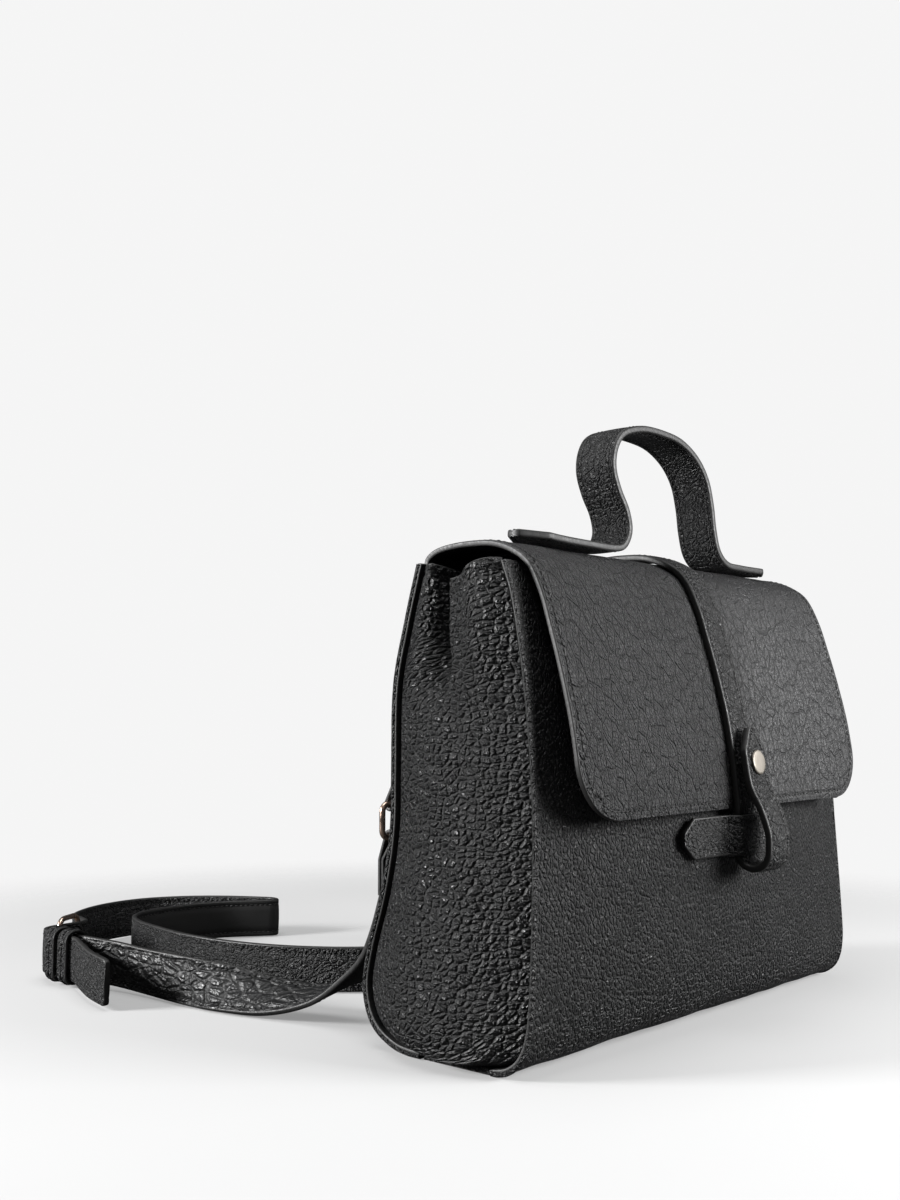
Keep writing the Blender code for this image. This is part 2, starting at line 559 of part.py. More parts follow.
def cord_mesh(name, route, count, thickness=SHOULDER_THICKNESS, width=SHOULDER_WIDTH):
    """A stretch of the shoulder strap, from its route and the way its width points."""
    line = even_points(smooth_curve(route, 8), count)
    halves = []
    for row in line:
        way = Vector(row[3:6]).normalized() if len(row) > 3 else Vector((0.0, 0.0, 1.0))
        halves.append(way * (width / 2))
    return ribbon_mesh(name, line[:, :3], halves, thickness)


def make_shoulder_strap(prong_parent):
    """The short strap with the buckle and two keepers, and the long strap that it holds."""
    finish_object("strap_short", cord_mesh("strap_short", SHORT_ROUTE, 44), EDGE_LEATHER)
    finish_object("strap_long", cord_mesh("strap_long", LONG_ROUTE, 110), EDGE_LEATHER)
    finish_object("strap_tip", cord_mesh("strap_tip", TIP_ROUTE, 22), EDGE_LEATHER)
    make_buckle(prong_parent)
    for name, share in (("strap_keeper_front", -0.15), ("strap_keeper_rear", 0.60)):
        make_strap_keeper(name, share)


def make_strap_keeper(name, share):
    """A leather loop round the short strap and the tip that lies on it."""
    start, end = Vector(TIP_ROUTE[4]), Vector(TIP_ROUTE[5])
    inner = Vector(SHORT_ROUTE[11][:3]).lerp(Vector(SHORT_ROUTE[12][:3]), share)
    middle = start.lerp(end, share).lerp(inner, 0.5)
    along = (end - start).normalized()
    across = Vector((along.y, -along.x, 0.0)).normalized()
    out, high, wall = 0.0070, 0.0152, 0.0016
    bm = bmesh.new()
    rings = []
    for step in (-0.0042, 0.0042):
        for grow in (0.0, wall):
            rings.append([bm.verts.new(middle + along * step + across * sx * (out + grow - wall)
                                       + Vector((0.0, 0.0, sz * (high + grow - wall))))
                          for sx, sz in ((1, 1), (-1, 1), (-1, -1), (1, -1))])
    order = (rings[0], rings[1], rings[3], rings[2])
    for first, second in zip(order, order[1:] + order[:1]):
        for i in range(4):
            j = (i + 1) % 4
            bm.faces.new((first[i], first[j], second[j], second[i]))
    bmesh.ops.recalc_face_normals(bm, faces=bm.faces)
    mesh = bpy.data.meshes.new(name)
    bm.to_mesh(mesh)
    bm.free()
    finish_object(name, mesh, EDGE_LEATHER)


def make_buckle(prong_parent):
    """A round-cornered wire frame that stands upright, and its prong."""
    along = (BUCKLE_FAR - BUCKLE_BAR).normalized()
    length = (BUCKLE_FAR - BUCKLE_BAR).length
    corner = 0.006
    half = BUCKLE_HEIGHT / 2 - BUCKLE_WIRE
    path = []
    for ca, cz, first in ((1, 1, 0), (0, 1, 90), (0, -1, 180), (1, -1, 270)):
        a0 = length - corner if ca else corner
        for angle in np.radians(np.linspace(first, first + 90, 5)):
            a = a0 + corner * math.cos(angle)
            z = cz * (half - corner) + corner * math.sin(angle)
            path.append(BUCKLE_BAR + along * a + Vector((0.0, 0.0, z)))
    finish_object("buckle_frame", wire_mesh("buckle_frame", path, BUCKLE_WIRE, True), BRONZE)
    out = Vector((-along.y, along.x, 0.0))
    path = [BUCKLE_BAR + along * 0.0024,
            BUCKLE_BAR + out * 0.0010 + along * 0.0060,
            BUCKLE_BAR + out * 0.0032 + along * 0.0115,
            BUCKLE_BAR + out * 0.0032 + along * (length + 0.0012)]
    halves = [(0.0, 0.0, 0.0014)] * len(path)
    mesh = ribbon_mesh("buckle_prong", path, halves, 0.0016)
    finish_object("buckle_prong", mesh, BRONZE, prong_parent)


def build():
    clear_scene()
    dense, split = flap_curve()
    crest = offset_profile(dense, GAP + STRAP)[split]
    fold = (LOOP_CENTRE[0] + (LOOP_RADIUS + STRAP / 2) * math.cos(LOOP_SPLIT),
            LOOP_CENTRE[1] + (LOOP_RADIUS + STRAP / 2) * math.sin(LOOP_SPLIT))
    flap_open = joint_empty("flap_open", FLAP_HINGE)
    flap_bend = joint_empty("flap_bend", (0.0, crest[0], crest[1]))
    tongue_open = joint_empty("tongue_open", (0.0, fold[0], fold[1]))
    prong_open = joint_empty("prong_open", BUCKLE_BAR)
    make_walls()
    make_base()
    make_gussets()
    make_flap(flap_open, flap_bend)
    make_closure(flap_open, flap_bend, tongue_open)
    make_snap(flap_bend, tongue_open)
    make_front_keeper()
    make_handle(flap_open)
    for side, word in ((-1, "left"), (1, "right")):
        ring_swing = joint_empty(f"ring_swing_{word}", (side * RING_X, RING_TOP.y, RING_TOP.z))
        make_ring_side(side, word, ring_swing)
    make_shoulder_strap(prong_open)


build()
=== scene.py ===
"""The looks of the flap satchel: leather panels, straps, stitching, metal, camera and light.

Metres, +Z up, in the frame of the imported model. The front faces -Y.
"""
import math

import bmesh
import bpy
import numpy as np
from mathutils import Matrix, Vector, noise


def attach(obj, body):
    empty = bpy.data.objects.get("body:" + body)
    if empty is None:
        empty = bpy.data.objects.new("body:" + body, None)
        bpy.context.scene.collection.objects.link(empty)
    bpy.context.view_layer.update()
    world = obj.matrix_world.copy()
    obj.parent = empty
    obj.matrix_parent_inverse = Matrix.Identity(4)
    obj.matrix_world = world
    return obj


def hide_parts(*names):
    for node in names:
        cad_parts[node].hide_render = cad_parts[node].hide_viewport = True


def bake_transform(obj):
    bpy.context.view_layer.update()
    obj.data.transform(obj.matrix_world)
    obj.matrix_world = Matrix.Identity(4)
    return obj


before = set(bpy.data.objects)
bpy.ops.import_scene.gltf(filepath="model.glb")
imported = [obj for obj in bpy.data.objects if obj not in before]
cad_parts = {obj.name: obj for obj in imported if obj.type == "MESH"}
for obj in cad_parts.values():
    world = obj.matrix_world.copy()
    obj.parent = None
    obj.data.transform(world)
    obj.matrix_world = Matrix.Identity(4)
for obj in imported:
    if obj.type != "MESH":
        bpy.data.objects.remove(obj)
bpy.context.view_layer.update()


def mm(*rows):
    """Places given in millimetres. A third length is followed by a width direction, or it is up."""
    scaled = [tuple(v / 1000 for v in row[:3]) for row in rows]
    return tuple(place + (tuple(row[3:]) or (0.0, 0.0, 1.0)) if len(row) > 2 else place
                 for place, row in zip(scaled, rows))


# Sizes and profiles of the solids that these pieces stand for
GAP, PANEL, STRAP = 0.0004, 0.0028, 0.0035
TOP_HALF_WIDTH, BASE_HALF_WIDTH, FLARE_HEIGHT, BODY_TOP = 0.1435, 0.1515, 0.115, 0.2290
FRONT_BULGE = 0.016
FLAP_HALF_WIDTH, FLAP_CORNER = 0.1355, 0.027
CLOSURE_WIDTH, HANDLE_WIDTH, HANDLE_THICKNESS, HANDLE_Y = 0.020, 0.024, 0.0036, -0.012
SHOULDER_WIDTH, SHOULDER_THICKNESS = 0.025, 0.0030
RING_WIRE, RING_X, RING_DROP = 0.0015, 0.127, 0.016
RING_TOP = np.array([0.0, 0.0495, 0.1135])
FRONT_PROFILE = mm((-28, 227), (-33, 213), (-37.2, 192), (-41, 165), (-44, 130), (-45.5, 90),
                   (-46.5, 45), (-46, 22), (-42, 9), (-34.5, 2.5), (-25.5, 0.3))
BACK_PROFILE = mm((26.5, 229), (35, 200), (42, 170), (43, 130), (43.5, 100), (47.5, 72), (54, 47),
                  (56, 27), (49, 11), (34, 2.5), (17, 0.3))
FLAP_PROFILE = mm((29, 233), (22.5, 237), (12, 238.8), (0, 239.2), (-14, 238.2), (-26, 234),
                  (-36, 226.5), (-43.5, 212), (-49, 195), (-54.5, 176), (-60, 153), (-63.5, 130),
                  (-65.5, 110))
FLAP_TAIL = mm((41.2, 190), (38.2, 201), (33.8, 216), (30.5, 227))
CLOSURE_TAIL = mm((-66.8, 101), (-66.5, 89.5))
LOOP_CENTRE, LOOP_RADIUS = (-0.0755, 0.0895), 0.0090
TONGUE_RISE = mm((-84.2, 98.5), (-80.2, 110), (-75.4, 119), (-73.3, 126.5), (-71.5, 138.5),
                 (-69.8, 150))
SNAP_Z, SNAP_LEAN = 0.1325, math.radians(8.6)
KEEPER_Z = 0.0968
HANDLE_ROWS = (-0.1030, -0.0560, 0.0680, 0.1030)     # x of the stitches across the handle's ends
HOLE_PLACES = (0.022, 0.044, 0.066, 0.088)           # from the buckle, along the long strap
CLOSURE_JOIN = (-0.0667, 0.0925)        # y and z where the closure strap's two pieces meet
FOLD_SEAM = 0.0095      # half the width between the stitches on a folded strap end
THREAD_INDEX = 3        # where the thread stands among a piece's looks
FLAP_SEAM = 0.0036      # how far the flap's stitches are from its edge
PIPING = 0.00125        # radius of the covered cords
PLEAT_DEPTH = 0.028
# Creases of a side wall: (share of the way back, height) points, width, depth
GUSSET_CREASES = ((((0.55, 0.166), (0.42, 0.120), (0.22, 0.080), (0.08, 0.040)), 0.0060, 0.0016),
                  (((0.62, 0.168), (0.90, 0.172)), 0.0050, 0.0014),
                  (((0.50, 0.130), (0.56, 0.085), (0.50, 0.035)), 0.0075, 0.0012))
HANDLE_ROUTE = mm((-118, 243.2), (-95, 241.8), (-70, 241.4), (-50, 241.5), (-41, 243.8), (-36, 252),
                  (-38.5, 262), (-45.5, 272), (-50, 283), (-48, 294), (-40, 302.5), (-23, 307.3),
                  (-4, 308), (15, 306), (31, 299), (41.5, 288.5), (46.5, 275), (49, 261),
                  (53.5, 249), (63, 242.4), (78, 241.4), (100, 241.4), (118, 241.6))
# Shoulder strap: x, y and z of its centre line, then its width direction where that isn't up
SHORT_ROUTE = mm((-127, 55, 69, 1, 0, 0), (-127, 61, 52, 1, 0, 0), (-126, 71, 37, 1, 0.1, 0),
                 (-126, 86, 24, 1, 0.1, 0), (-130, 107, 13, 1, 0.3, 0.2),
                 (-139, 133, 9.5, 0.8, 0.3, 0.55), (-149, 160, 11.5, 0.5, 0.2, 0.85),
                 (-155, 188, 13, 0.2, 0, 1), (-157, 218, 13.8), (-159, 244, 15), (-165, 261, 16.5),
                 (-168.3, 276, 17.2), (-169, 293, 17.7), (-163, 303, 17.7))
TIP_ROUTE = mm((-192, 207, 14.5), (-186.8, 230, 15.2), (-179.3, 251, 16.2), (-173.5, 266, 16.8),
               (-172.4, 279, 17.3), (-173, 294.5, 17.7), (-169.7, 304, 17.7), (-163.3, 308.5, 17.7))
LONG_ROUTE = mm((-151.5, 309.7, 17.7), (-138, 312.4, 17.6), (-129, 329, 16.5), (-116, 358, 14.5),
                (-93, 378, 13.8), (-66, 389.5, 13.4), (-38, 390.5, 13.2), (-12, 379, 13),
                (7, 360, 13), (20, 339, 13), (25.5, 326, 13), (20.5, 318, 13), (11, 323.5, 13),
                (-9, 337, 13), (-34, 345.5, 13), (-62, 345, 13), (-85, 335, 13), (-97.5, 314, 13),
                (-104, 285, 13), (-109, 248, 13), (-106, 208, 13), (-93, 170, 13), (-69, 138, 13),
                (-33, 117, 13), (10, 108, 13), (50, 104, 13.2, 0.1, 0.1, 1),
                (84, 100, 14, 0.4, 0.3, 0.9), (108, 93, 18, 0.8, 0.4, 0.5),
                (122, 81, 28, 1, 0.3, 0.1), (127, 67, 43, 1, 0.1, 0), (127, 59, 57, 1, 0, 0),
                (127, 55, 69, 1, 0, 0))
BUCKLE_BAR = np.array([-0.1605, 0.3050, 0.0177])
BUCKLE_FAR = np.array([-0.1405, 0.3160, 0.0177])
BUCKLE_HEIGHT, BUCKLE_WIRE = 0.0350, 0.0016

# Sewing
STITCH_PITCH = 0.0034
STITCH_LENGTH = 0.0025
THREAD = 0.00045         # radius
SEAM_INSET = 0.0032      # from an edge to its row of stitches

UP = np.array([0.0, 0.0, 1.0])


# ---------------------------------------------------------------- curves

def smooth_curve(points, per_span=12):
    """A Catmull-Rom curve through the points, as a dense array."""
    given = np.array(points, dtype=float)
    padded = np.vstack([2 * given[0] - given[1], given, 2 * given[-1] - given[-2]])
    dense = []
    for i in range(1, len(padded) - 2):
        a, b, c, d = padded[i - 1:i + 3]
        for t in np.arange(per_span) / per_span:
            dense.append(0.5 * (2 * b + (c - a) * t + (2 * a - 5 * b + 4 * c - d) * t * t
                                + (3 * b - a - 3 * c + d) * t ** 3))
    return np.vstack([dense, given[-1]])


def travel_along(line):
    steps = np.linalg.norm(np.diff(line[:, :3], axis=0), axis=1)
    return np.concatenate([[0.0], np.cumsum(steps)])


def at_travel(line, wanted):
    """Points of a dense line at the wanted distances along it."""
    travel = travel_along(line)
    return np.column_stack([np.interp(wanted, travel, column) for column in line.T])


def even_points(line, spacing):
    length = travel_along(line)[-1]
    return at_travel(line, np.linspace(0.0, length, max(4, int(round(length / spacing)) + 1)))


def offset_profile(profile, distance):
    """A Y-Z profile moved sideways: positive is to the right of its direction of travel."""
    tangent = unit(np.gradient(profile, axis=0))
    return profile + distance * np.column_stack([tangent[:, 1], -tangent[:, 0]])


def unit(vectors):
    return vectors / np.maximum(np.linalg.norm(vectors, axis=-1, keepdims=True), 1e-12)


def smoothstep(low, high, value):
    t = np.clip((np.asarray(value, dtype=float) - low) / (high - low), 0.0, 1.0)
    return t * t * (3 - 2 * t)


def wobble(points, size, seed):
    """Smooth noise from -1 to 1 at each point, with features of the given size."""
    shift = Vector((seed * 7.3, seed * 3.1, seed * 5.7))
    flat = np.asarray(points, dtype=float).reshape(-1, 3)
    values = [noise.noise(Vector(p) / size + shift) for p in flat]
    return np.array(values).reshape(np.asarray(points).shape[:-1])


def half_width(z):
    return TOP_HALF_WIDTH + (BASE_HALF_WIDTH - TOP_HALF_WIDTH) * np.maximum(0.0, 1 - z / FLARE_HEIGHT) ** 1.3


def front_bulge(x, z):
    height = np.clip(z / BODY_TOP, 0.0, 1.0)
    return FRONT_BULGE * (1 - (x / half_width(z)) ** 2) * np.sin(math.pi * height ** 0.8)


# ---------------------------------------------------------------- mesh making

class Skin:
    """Gathers one piece: points, a texture place in metres for each, and faces with a look."""

    def __init__(self):
        self.points, self.places, self.faces, self.looks = [], [], [], []
        self.count = 0

    def add(self, points, places, faces, look):
        self.points.append(np.asarray(points, dtype=float).reshape(-1, 3))
        self.places.append(np.asarray(places, dtype=float).reshape(-1, 2))
        self.faces += [tuple(int(i) + self.count for i in face) for face in faces]
        self.looks += [look] * len(faces)
        self.count += len(self.points[-1])

    def make(self, name, materials):
        mesh = bpy.data.meshes.new(name)
        mesh.from_pydata(np.vstack(self.points).tolist(), [], self.faces)
        for material in materials:
            mesh.materials.append(material)
        mesh.polygons.foreach_set("material_index", self.looks)
        corners = np.empty(len(mesh.loops), dtype=np.int32)
        mesh.loops.foreach_get("vertex_index", corners)
        layer = mesh.uv_layers.new(name="UVMap")
        layer.data.foreach_set("uv", np.vstack(self.places)[corners].ravel())
        bm = bmesh.new()
        bm.from_mesh(mesh)
        bmesh.ops.remove_doubles(bm, verts=bm.verts, dist=0.000002)
        bmesh.ops.recalc_face_normals(bm, faces=bm.faces)
        bm.to_mesh(mesh)
        bm.free()
        mesh.shade_smooth()
        mesh.set_sharp_from_angle(angle=math.radians(55))
        piece = bpy.data.objects.new(name, mesh)
        bpy.context.scene.collection.objects.link(piece)
        return piece


def grid_faces(index, flip):
    a, b = index[:-1, :-1].ravel(), index[1:, :-1].ravel()
    c, d = index[1:, 1:].ravel(), index[:-1, 1:].ravel()
    order = (d, c, b, a) if flip else (a, b, c, d)
    return list(zip(*order))


def grid_normals(outer, flip=False):
    normals = unit(np.cross(np.gradient(outer, axis=0), np.gradient(outer, axis=1)))
    return -normals if flip else normals


def sheet(skin, outer, places, thickness, looks, flip=False, edge=0.0007):
    """A closed sheet of leather from a grid of outer points, with a rounded painted edge."""
    normals = grid_normals(outer, flip)
    rows, columns = outer.shape[:2]
    index = np.arange(rows * columns).reshape(rows, columns)
    skin.add(outer, places, grid_faces(index, flip), looks[0])
    skin.add(outer - normals * thickness, places, grid_faces(index, not flip), looks[2])
    away = np.zeros_like(outer)
    away[0] -= unit(outer[1] - outer[0])
    away[-1] += unit(outer[-1] - outer[-2])
    away[:, 0] -= unit(outer[:, 1] - outer[:, 0])
    away[:, -1] += unit(outer[:, -1] - outer[:, -2])
    ring = np.concatenate([index[0], index[1:, -1], index[-1, -2::-1], index[-2:0:-1, 0]])
    rim, out, at = (a.reshape(-1, a.shape[-1])[ring] for a in (outer, away, places))
    normal = normals.reshape(-1, 3)[ring]
    out = unit(out - normal * np.sum(out * normal, axis=1, keepdims=True))
    levels = []
    for angle in np.radians((90, 62, 35, 10, -10, -35, -62, -90)):
        rise = math.copysign(abs(math.sin(angle)) ** 0.6, angle) if abs(angle) > 1e-6 else 0.0
        reach = abs(math.cos(angle)) ** 0.7
        levels.append(rim + normal * thickness / 2 * (rise - 1) + out * edge * reach)
    turn = len(ring)
    wrap = np.arange(len(levels) * turn).reshape(len(levels), turn)
    wrap = np.column_stack([wrap, wrap[:, 0]])
    skin.add(np.vstack(levels), np.tile(at, (len(levels), 1)), grid_faces(wrap, not flip), looks[1])


def section(half, thickness, groove, crown):
    """A strap's cross-section as (across, up) points: the face first, then round the back."""
    edge = min(0.0009, thickness * 0.32)
    seam = max(half - SEAM_INSET, half * 0.3)
    step = min(0.0009, half * 0.2)
    top = [(half - edge, 0.0), (seam + step, 0.00005), (seam, -groove), (seam - step, 0.00005),
           ((seam - step) * 0.55, crown * 0.8), (0.0, crown)]
    face = [(-w, h) for w, h in top[:-1]] + [(w, h) for w, h in top[::-1]]
    rise = thickness / 2
    face = [(w, rise + h) for w, h in face]
    side = [(half - edge * 0.3, rise - edge * 0.25), (half, rise - edge), (half, edge - rise),
            (half - edge * 0.3, edge * 0.25 - rise)]
    back = [(w, -h) for w, h in face[::-1]]
    other = [(-w, -h) for w, h in side]
    return np.array(face + side + back + other), len(face)


def strap_frame(centres, sides, turned=False):
    """Unit width and face directions along a strap's centre line."""
    along = unit(np.gradient(centres, axis=0))
    width = unit(sides - along * np.sum(sides * along, axis=1, keepdims=True))
    face = np.cross(along, width)
    return width, (-face if turned else face)


def strap(skin, centres, sides, halves, thickness, looks, turned=False, relief=None,
          groove=0.00045, crown=0.0003, start_at=0.0, caps=(True, True)):
    """A stitched two-layer strap swept along its centre line. looks are (face, edge, back)."""
    width, face = strap_frame(centres, sides, turned)
    travel = travel_along(centres) + start_at
    rings, places = [], []
    for i, centre in enumerate(centres):
        outline, on_face = section(halves[i], thickness, groove, crown)
        rise = outline[:, 1].copy()
        if relief is not None:
            rise[:on_face] += relief(travel[i], outline[:on_face, 0])
        rings.append(centre + outline[:, :1] * width[i] + rise[:, None] * face[i])
        places.append(np.column_stack([np.full(len(outline), travel[i]), outline[:, 0]]))
    count = len(rings[0])
    index = np.arange(len(rings) * count).reshape(len(rings), count)
    index = np.column_stack([index, index[:, 0]])
    spans = ((0, on_face - 1, 0), (on_face - 1, on_face + 4, 1), (on_face + 4, 2 * on_face + 3, 2),
             (2 * on_face + 3, count, 1))
    first = skin.count
    skin.add(np.vstack(rings), np.vstack(places), [], 0)
    for low, high, look in spans:
        faces = grid_faces(index[:, low:high + 1], not turned)
        skin.faces += [tuple(int(i) + first for i in f) for f in faces]
        skin.looks += [looks[look]] * len(faces)
    for wanted, ring, place, way in ((caps[0], 0, places[0], -1), (caps[1], -1, places[-1], 1)):
        if wanted:
            push = unit(np.gradient(centres, axis=0))[ring] * way
            strap_cap(skin, rings[ring], centres[ring], push, place, looks[1], (way > 0) != turned)


def strap_cap(skin, ring, middle, push, place, look, flip):
    """A slightly rounded end on a strap."""
    count = len(ring)
    inner = ring + (middle - ring) * 0.10 + push * 0.0004
    index = np.arange(2 * count).reshape(2, count)
    index = np.column_stack([index, index[:, 0]])
    skin.add(np.vstack([ring, inner]), np.vstack([place, place]), grid_faces(index, flip), look)
    tip = [(count, i, (i + 1) % count) for i in range(count)]
    if flip:
        tip = [(c, b, a) for a, b, c in tip]
    skin.add(np.vstack([inner, middle + push * 0.0005]), np.vstack([place, place[:1]]), tip, look)


def stitches(skin, line, normals):
    """Thread on the surface: one short raised stitch after another along a line."""
    travel = travel_along(line)
    count = max(1, int(travel[-1] / STITCH_PITCH))
    middles = (np.arange(count) + 0.5) * travel[-1] / count
    centre = at_travel(line, middles)
    along = unit(at_travel(line, middles + 0.0005) - at_travel(line, middles - 0.0005))
    normal = np.column_stack([np.interp(middles, travel, column) for column in np.asarray(normals).T])
    normal = unit(normal - along * np.sum(normal * along, axis=1, keepdims=True))
    across = np.cross(normal, along)
    along = unit(along + 0.12 * across)
    across = np.cross(normal, along)
    sides = 6
    turn = 2 * math.pi * np.arange(sides) / sides
    profile = ((-0.5, 0.30, -0.7), (-0.34, 0.92, 0.0), (0.0, 1.0, 0.25), (0.34, 0.92, 0.0), (0.5, 0.30, -0.7))
    points = []
    for share, fat, lift in profile:
        middle = centre + along * STITCH_LENGTH * share + normal * THREAD * lift
        ring = (middle[:, None] + THREAD * fat * (np.cos(turn)[None, :, None] * across[:, None]
                                                 + np.sin(turn)[None, :, None] * normal[:, None]))
        points.append(ring)
    points = np.stack(points, axis=1)
    levels = len(profile)
    places = np.zeros((count, levels, sides, 2))
    places[..., 0] = middles[:, None, None] + np.array([p[0] for p in profile])[None, :, None] * STITCH_LENGTH
    places[..., 1] = np.arange(sides)[None, None, :] * 0.0004
    faces = []
    for s in range(count):
        start = s * levels * sides
        for k in range(levels - 1):
            for i in range(sides):
                j = (i + 1) % sides
                low, high = start + k * sides, start + (k + 1) * sides
                faces.append((low + i, low + j, high + j, high + i))
        faces.append([start + i for i in range(sides)][::-1])
        faces.append([start + (levels - 1) * sides + i for i in range(sides)])
    skin.add(points, places, faces, THREAD_INDEX)


def stitch_row(skin, row, normal):
    """Stitches along a row on a flat face."""
    row = np.array(row)
    stitches(skin, row, np.tile(normal, (len(row), 1)))


def strap_stitches(skin, centres, sides, halves, thickness, turned=False, both=False,
                   span=None):
    """Two rows of stitches along a strap's edges, on its face or on both sides."""
    width, face = strap_frame(centres, sides, turned)
    keep = slice(*span) if span else slice(None)
    for way in ((1, -1) if both else (1,)):
        for side in (-1, 1):
            reach = np.maximum(halves - SEAM_INSET, halves * 0.3)[:, None]
            line = centres + side * reach * width + way * (thickness / 2 - 0.0002) * face
            stitches(skin, line[keep], (way * face)[keep])


def ring_faces(skin, rings, places, look, flip=False, caps=True):
    """Faces round a row of rings, with both ends closed if wanted."""
    count = rings.shape[1]
    index = np.arange(rings.shape[0] * count).reshape(-1, count)
    skin.add(rings, places, grid_faces(np.column_stack([index, index[:, 0]]), flip), look)
    if caps:
        end = list(range(count))[::-1 if flip else 1]
        skin.add(rings[0], places[0], [end], look)
        skin.add(rings[-1], places[-1], [end[::-1]], look)


def tube(skin, path, across, rise, radius, girth, sides, look, caps=True):
    """A round tube along a path, given the two directions square to it at each point."""
    turn = 2 * math.pi * np.arange(sides) / sides
    rings = path[:, None] + radius * (np.cos(turn)[None, :, None] * across[:, None]
                                      + np.sin(turn)[None, :, None] * rise[:, None])
    places = np.zeros(rings.shape[:2] + (2,))
    places[..., 0] = travel_along(path)[:, None]
    places[..., 1] = turn * girth
    ring_faces(skin, rings, places, look, caps=caps)


def wire(skin, path, radius, look, closed=True, sides=16):
    """A round wire along a flat path."""
    path = np.asarray(path, dtype=float)
    along = (np.roll(path, -1, axis=0) - np.roll(path, 1, axis=0)) if closed else np.gradient(path, axis=0)
    flat = np.linalg.svd(path - path.mean(axis=0))[2][2]
    across = unit(np.cross(flat, along))
    if closed:
        path, across = np.vstack([path, path[:1]]), np.vstack([across, across[:1]])
    tube(skin, path, across, np.tile(flat, (len(path), 1)), radius, radius, sides, look, caps=not closed)


def revolve(skin, outline, place, axis, look, sides=48):
    """A turned piece. The outline is (radius, distance along the axis), from back to front."""
    axis = unit(np.asarray(axis, dtype=float))
    across = unit(np.cross(axis, (0.3, 0.1, 0.9)))
    rise = np.cross(axis, across)
    turn = 2 * math.pi * np.arange(sides) / sides
    flat = np.stack([np.cos(turn), np.sin(turn)], axis=-1)
    radii = np.array([r for r, _ in outline])[:, None, None]
    heights = np.array([h for _, h in outline])[:, None, None]
    spots = radii * flat
    rings = place + axis * heights + spots[..., :1] * across + spots[..., 1:] * rise
    ring_faces(skin, rings, spots, look, flip=True)


# ---------------------------------------------------------------- materials

def add(tree, kind, inputs=None, **settings):
    """A new node with its settings, its inputs set to numbers or linked to other sockets."""
    made = tree.nodes.new(kind)
    for name, value in settings.items():
        setattr(made, name, value)
    for key, value in (inputs or {}).items():
        if isinstance(value, bpy.types.NodeSocket):
            tree.links.new(value, made.inputs[key])
        else:
            made.inputs[key].default_value = value
    return made


def calc(tree, operation, a, b=0.0):
    return add(tree, "ShaderNodeMath", {0: a, 1: b}, operation=operation).outputs[0]


def span(tree, value, low, high, to_low=0.0, to_high=1.0):
    """A smooth step from to_low to to_high as the value goes from low to high."""
    made = add(tree, "ShaderNodeMapRange", {"Value": value, "From Min": low, "From Max": high,
                                            "To Min": to_low, "To Max": to_high},
               interpolation_type="SMOOTHSTEP")
    return made.outputs[0]


def new_material(name):
    made = bpy.data.materials.new(name)
    made.use_nodes = True
    return made, made.node_tree, made.node_tree.nodes["Principled BSDF"]


def blend_colour(tree, share, low, high):
    made = add(tree, "ShaderNodeMix", {0: share}, data_type="RGBA")
    for index, value in ((6, low), (7, high)):
        made.inputs[index].default_value = (*value, 1.0)
    return made.outputs[2]


def warped(tree, place, cell, amount):
    """The place moved about by noise, so that cells don't line up."""
    cloud = add(tree, "ShaderNodeTexNoise", {"Vector": place, "Scale": 0.42 / cell, "Detail": 2.0})
    centred = add(tree, "ShaderNodeVectorMath", {0: cloud.outputs["Color"], 1: (0.5, 0.5, 0.5)},
                  operation="SUBTRACT").outputs[0]
    scaled = add(tree, "ShaderNodeVectorMath", {0: centred, 3: cell * amount},
                 operation="SCALE").outputs[0]
    return add(tree, "ShaderNodeVectorMath", {0: place, 1: scaled}, operation="ADD").outputs[0]


def cell_edges(tree, place, cell, flat, randomness=0.9):
    """Distance to the nearest edge between grain cells, in cells."""
    made = add(tree, "ShaderNodeTexVoronoi", {"Vector": place, "Scale": 1.0 / cell,
                                              "Randomness": randomness},
               feature="DISTANCE_TO_EDGE", voronoi_dimensions="2D" if flat else "3D")
    return made.outputs["Distance"]


def noise_at(tree, place, scale, detail, rough=0.5):
    return add(tree, "ShaderNodeTexNoise", {"Vector": place, "Scale": scale, "Detail": detail,
                                            "Roughness": rough}).outputs["Fac"]


def raise_surface(tree, shader, height, distance, strength=1.0):
    """Bumps on the surface, from a height between about 0 and 1."""
    made = add(tree, "ShaderNodeBump", {"Height": height, "Distance": distance, "Strength": strength})
    tree.links.new(made.outputs[0], shader.inputs["Normal"])


def tint(tree, shader, share, colour, darker):
    """The base colour, darker where the share is 0."""
    dark = tuple(c * darker for c in colour)
    tree.links.new(blend_colour(tree, share, dark, colour), shader.inputs["Base Color"])


def mapped(tree, place, stretch, turn=0.0):
    return add(tree, "ShaderNodeMapping", {"Vector": place, "Rotation": (0.0, 0.0, turn),
                                           "Scale": (1 / stretch[0], 1 / stretch[1], 1.0)}).outputs[0]


def crack_network(tree, start, size, stretch, strength, flat):
    """Large and lesser cracks: their height, and the painted shade that darkens the base colour in them."""
    bent = warped(tree, mapped(tree, start, stretch), size * 0.6, 1.1)
    large = span(tree, cell_edges(tree, bent, size, flat, 1.0), 0.0, 0.075)
    lesser = span(tree, cell_edges(tree, bent, size * 0.47, flat, 1.0), 0.0, 0.11)
    height = calc(tree, "ADD", calc(tree, "MULTIPLY", large, strength),
                  calc(tree, "MULTIPLY", lesser, strength * 0.55))
    # painted shade: the base colour is darker down in the cracks
    left = span(tree, calc(tree, "MULTIPLY", large, lesser), 0.0, 1.0, 1 - min(strength, 1.0) * 0.75, 1.0)
    return height, left


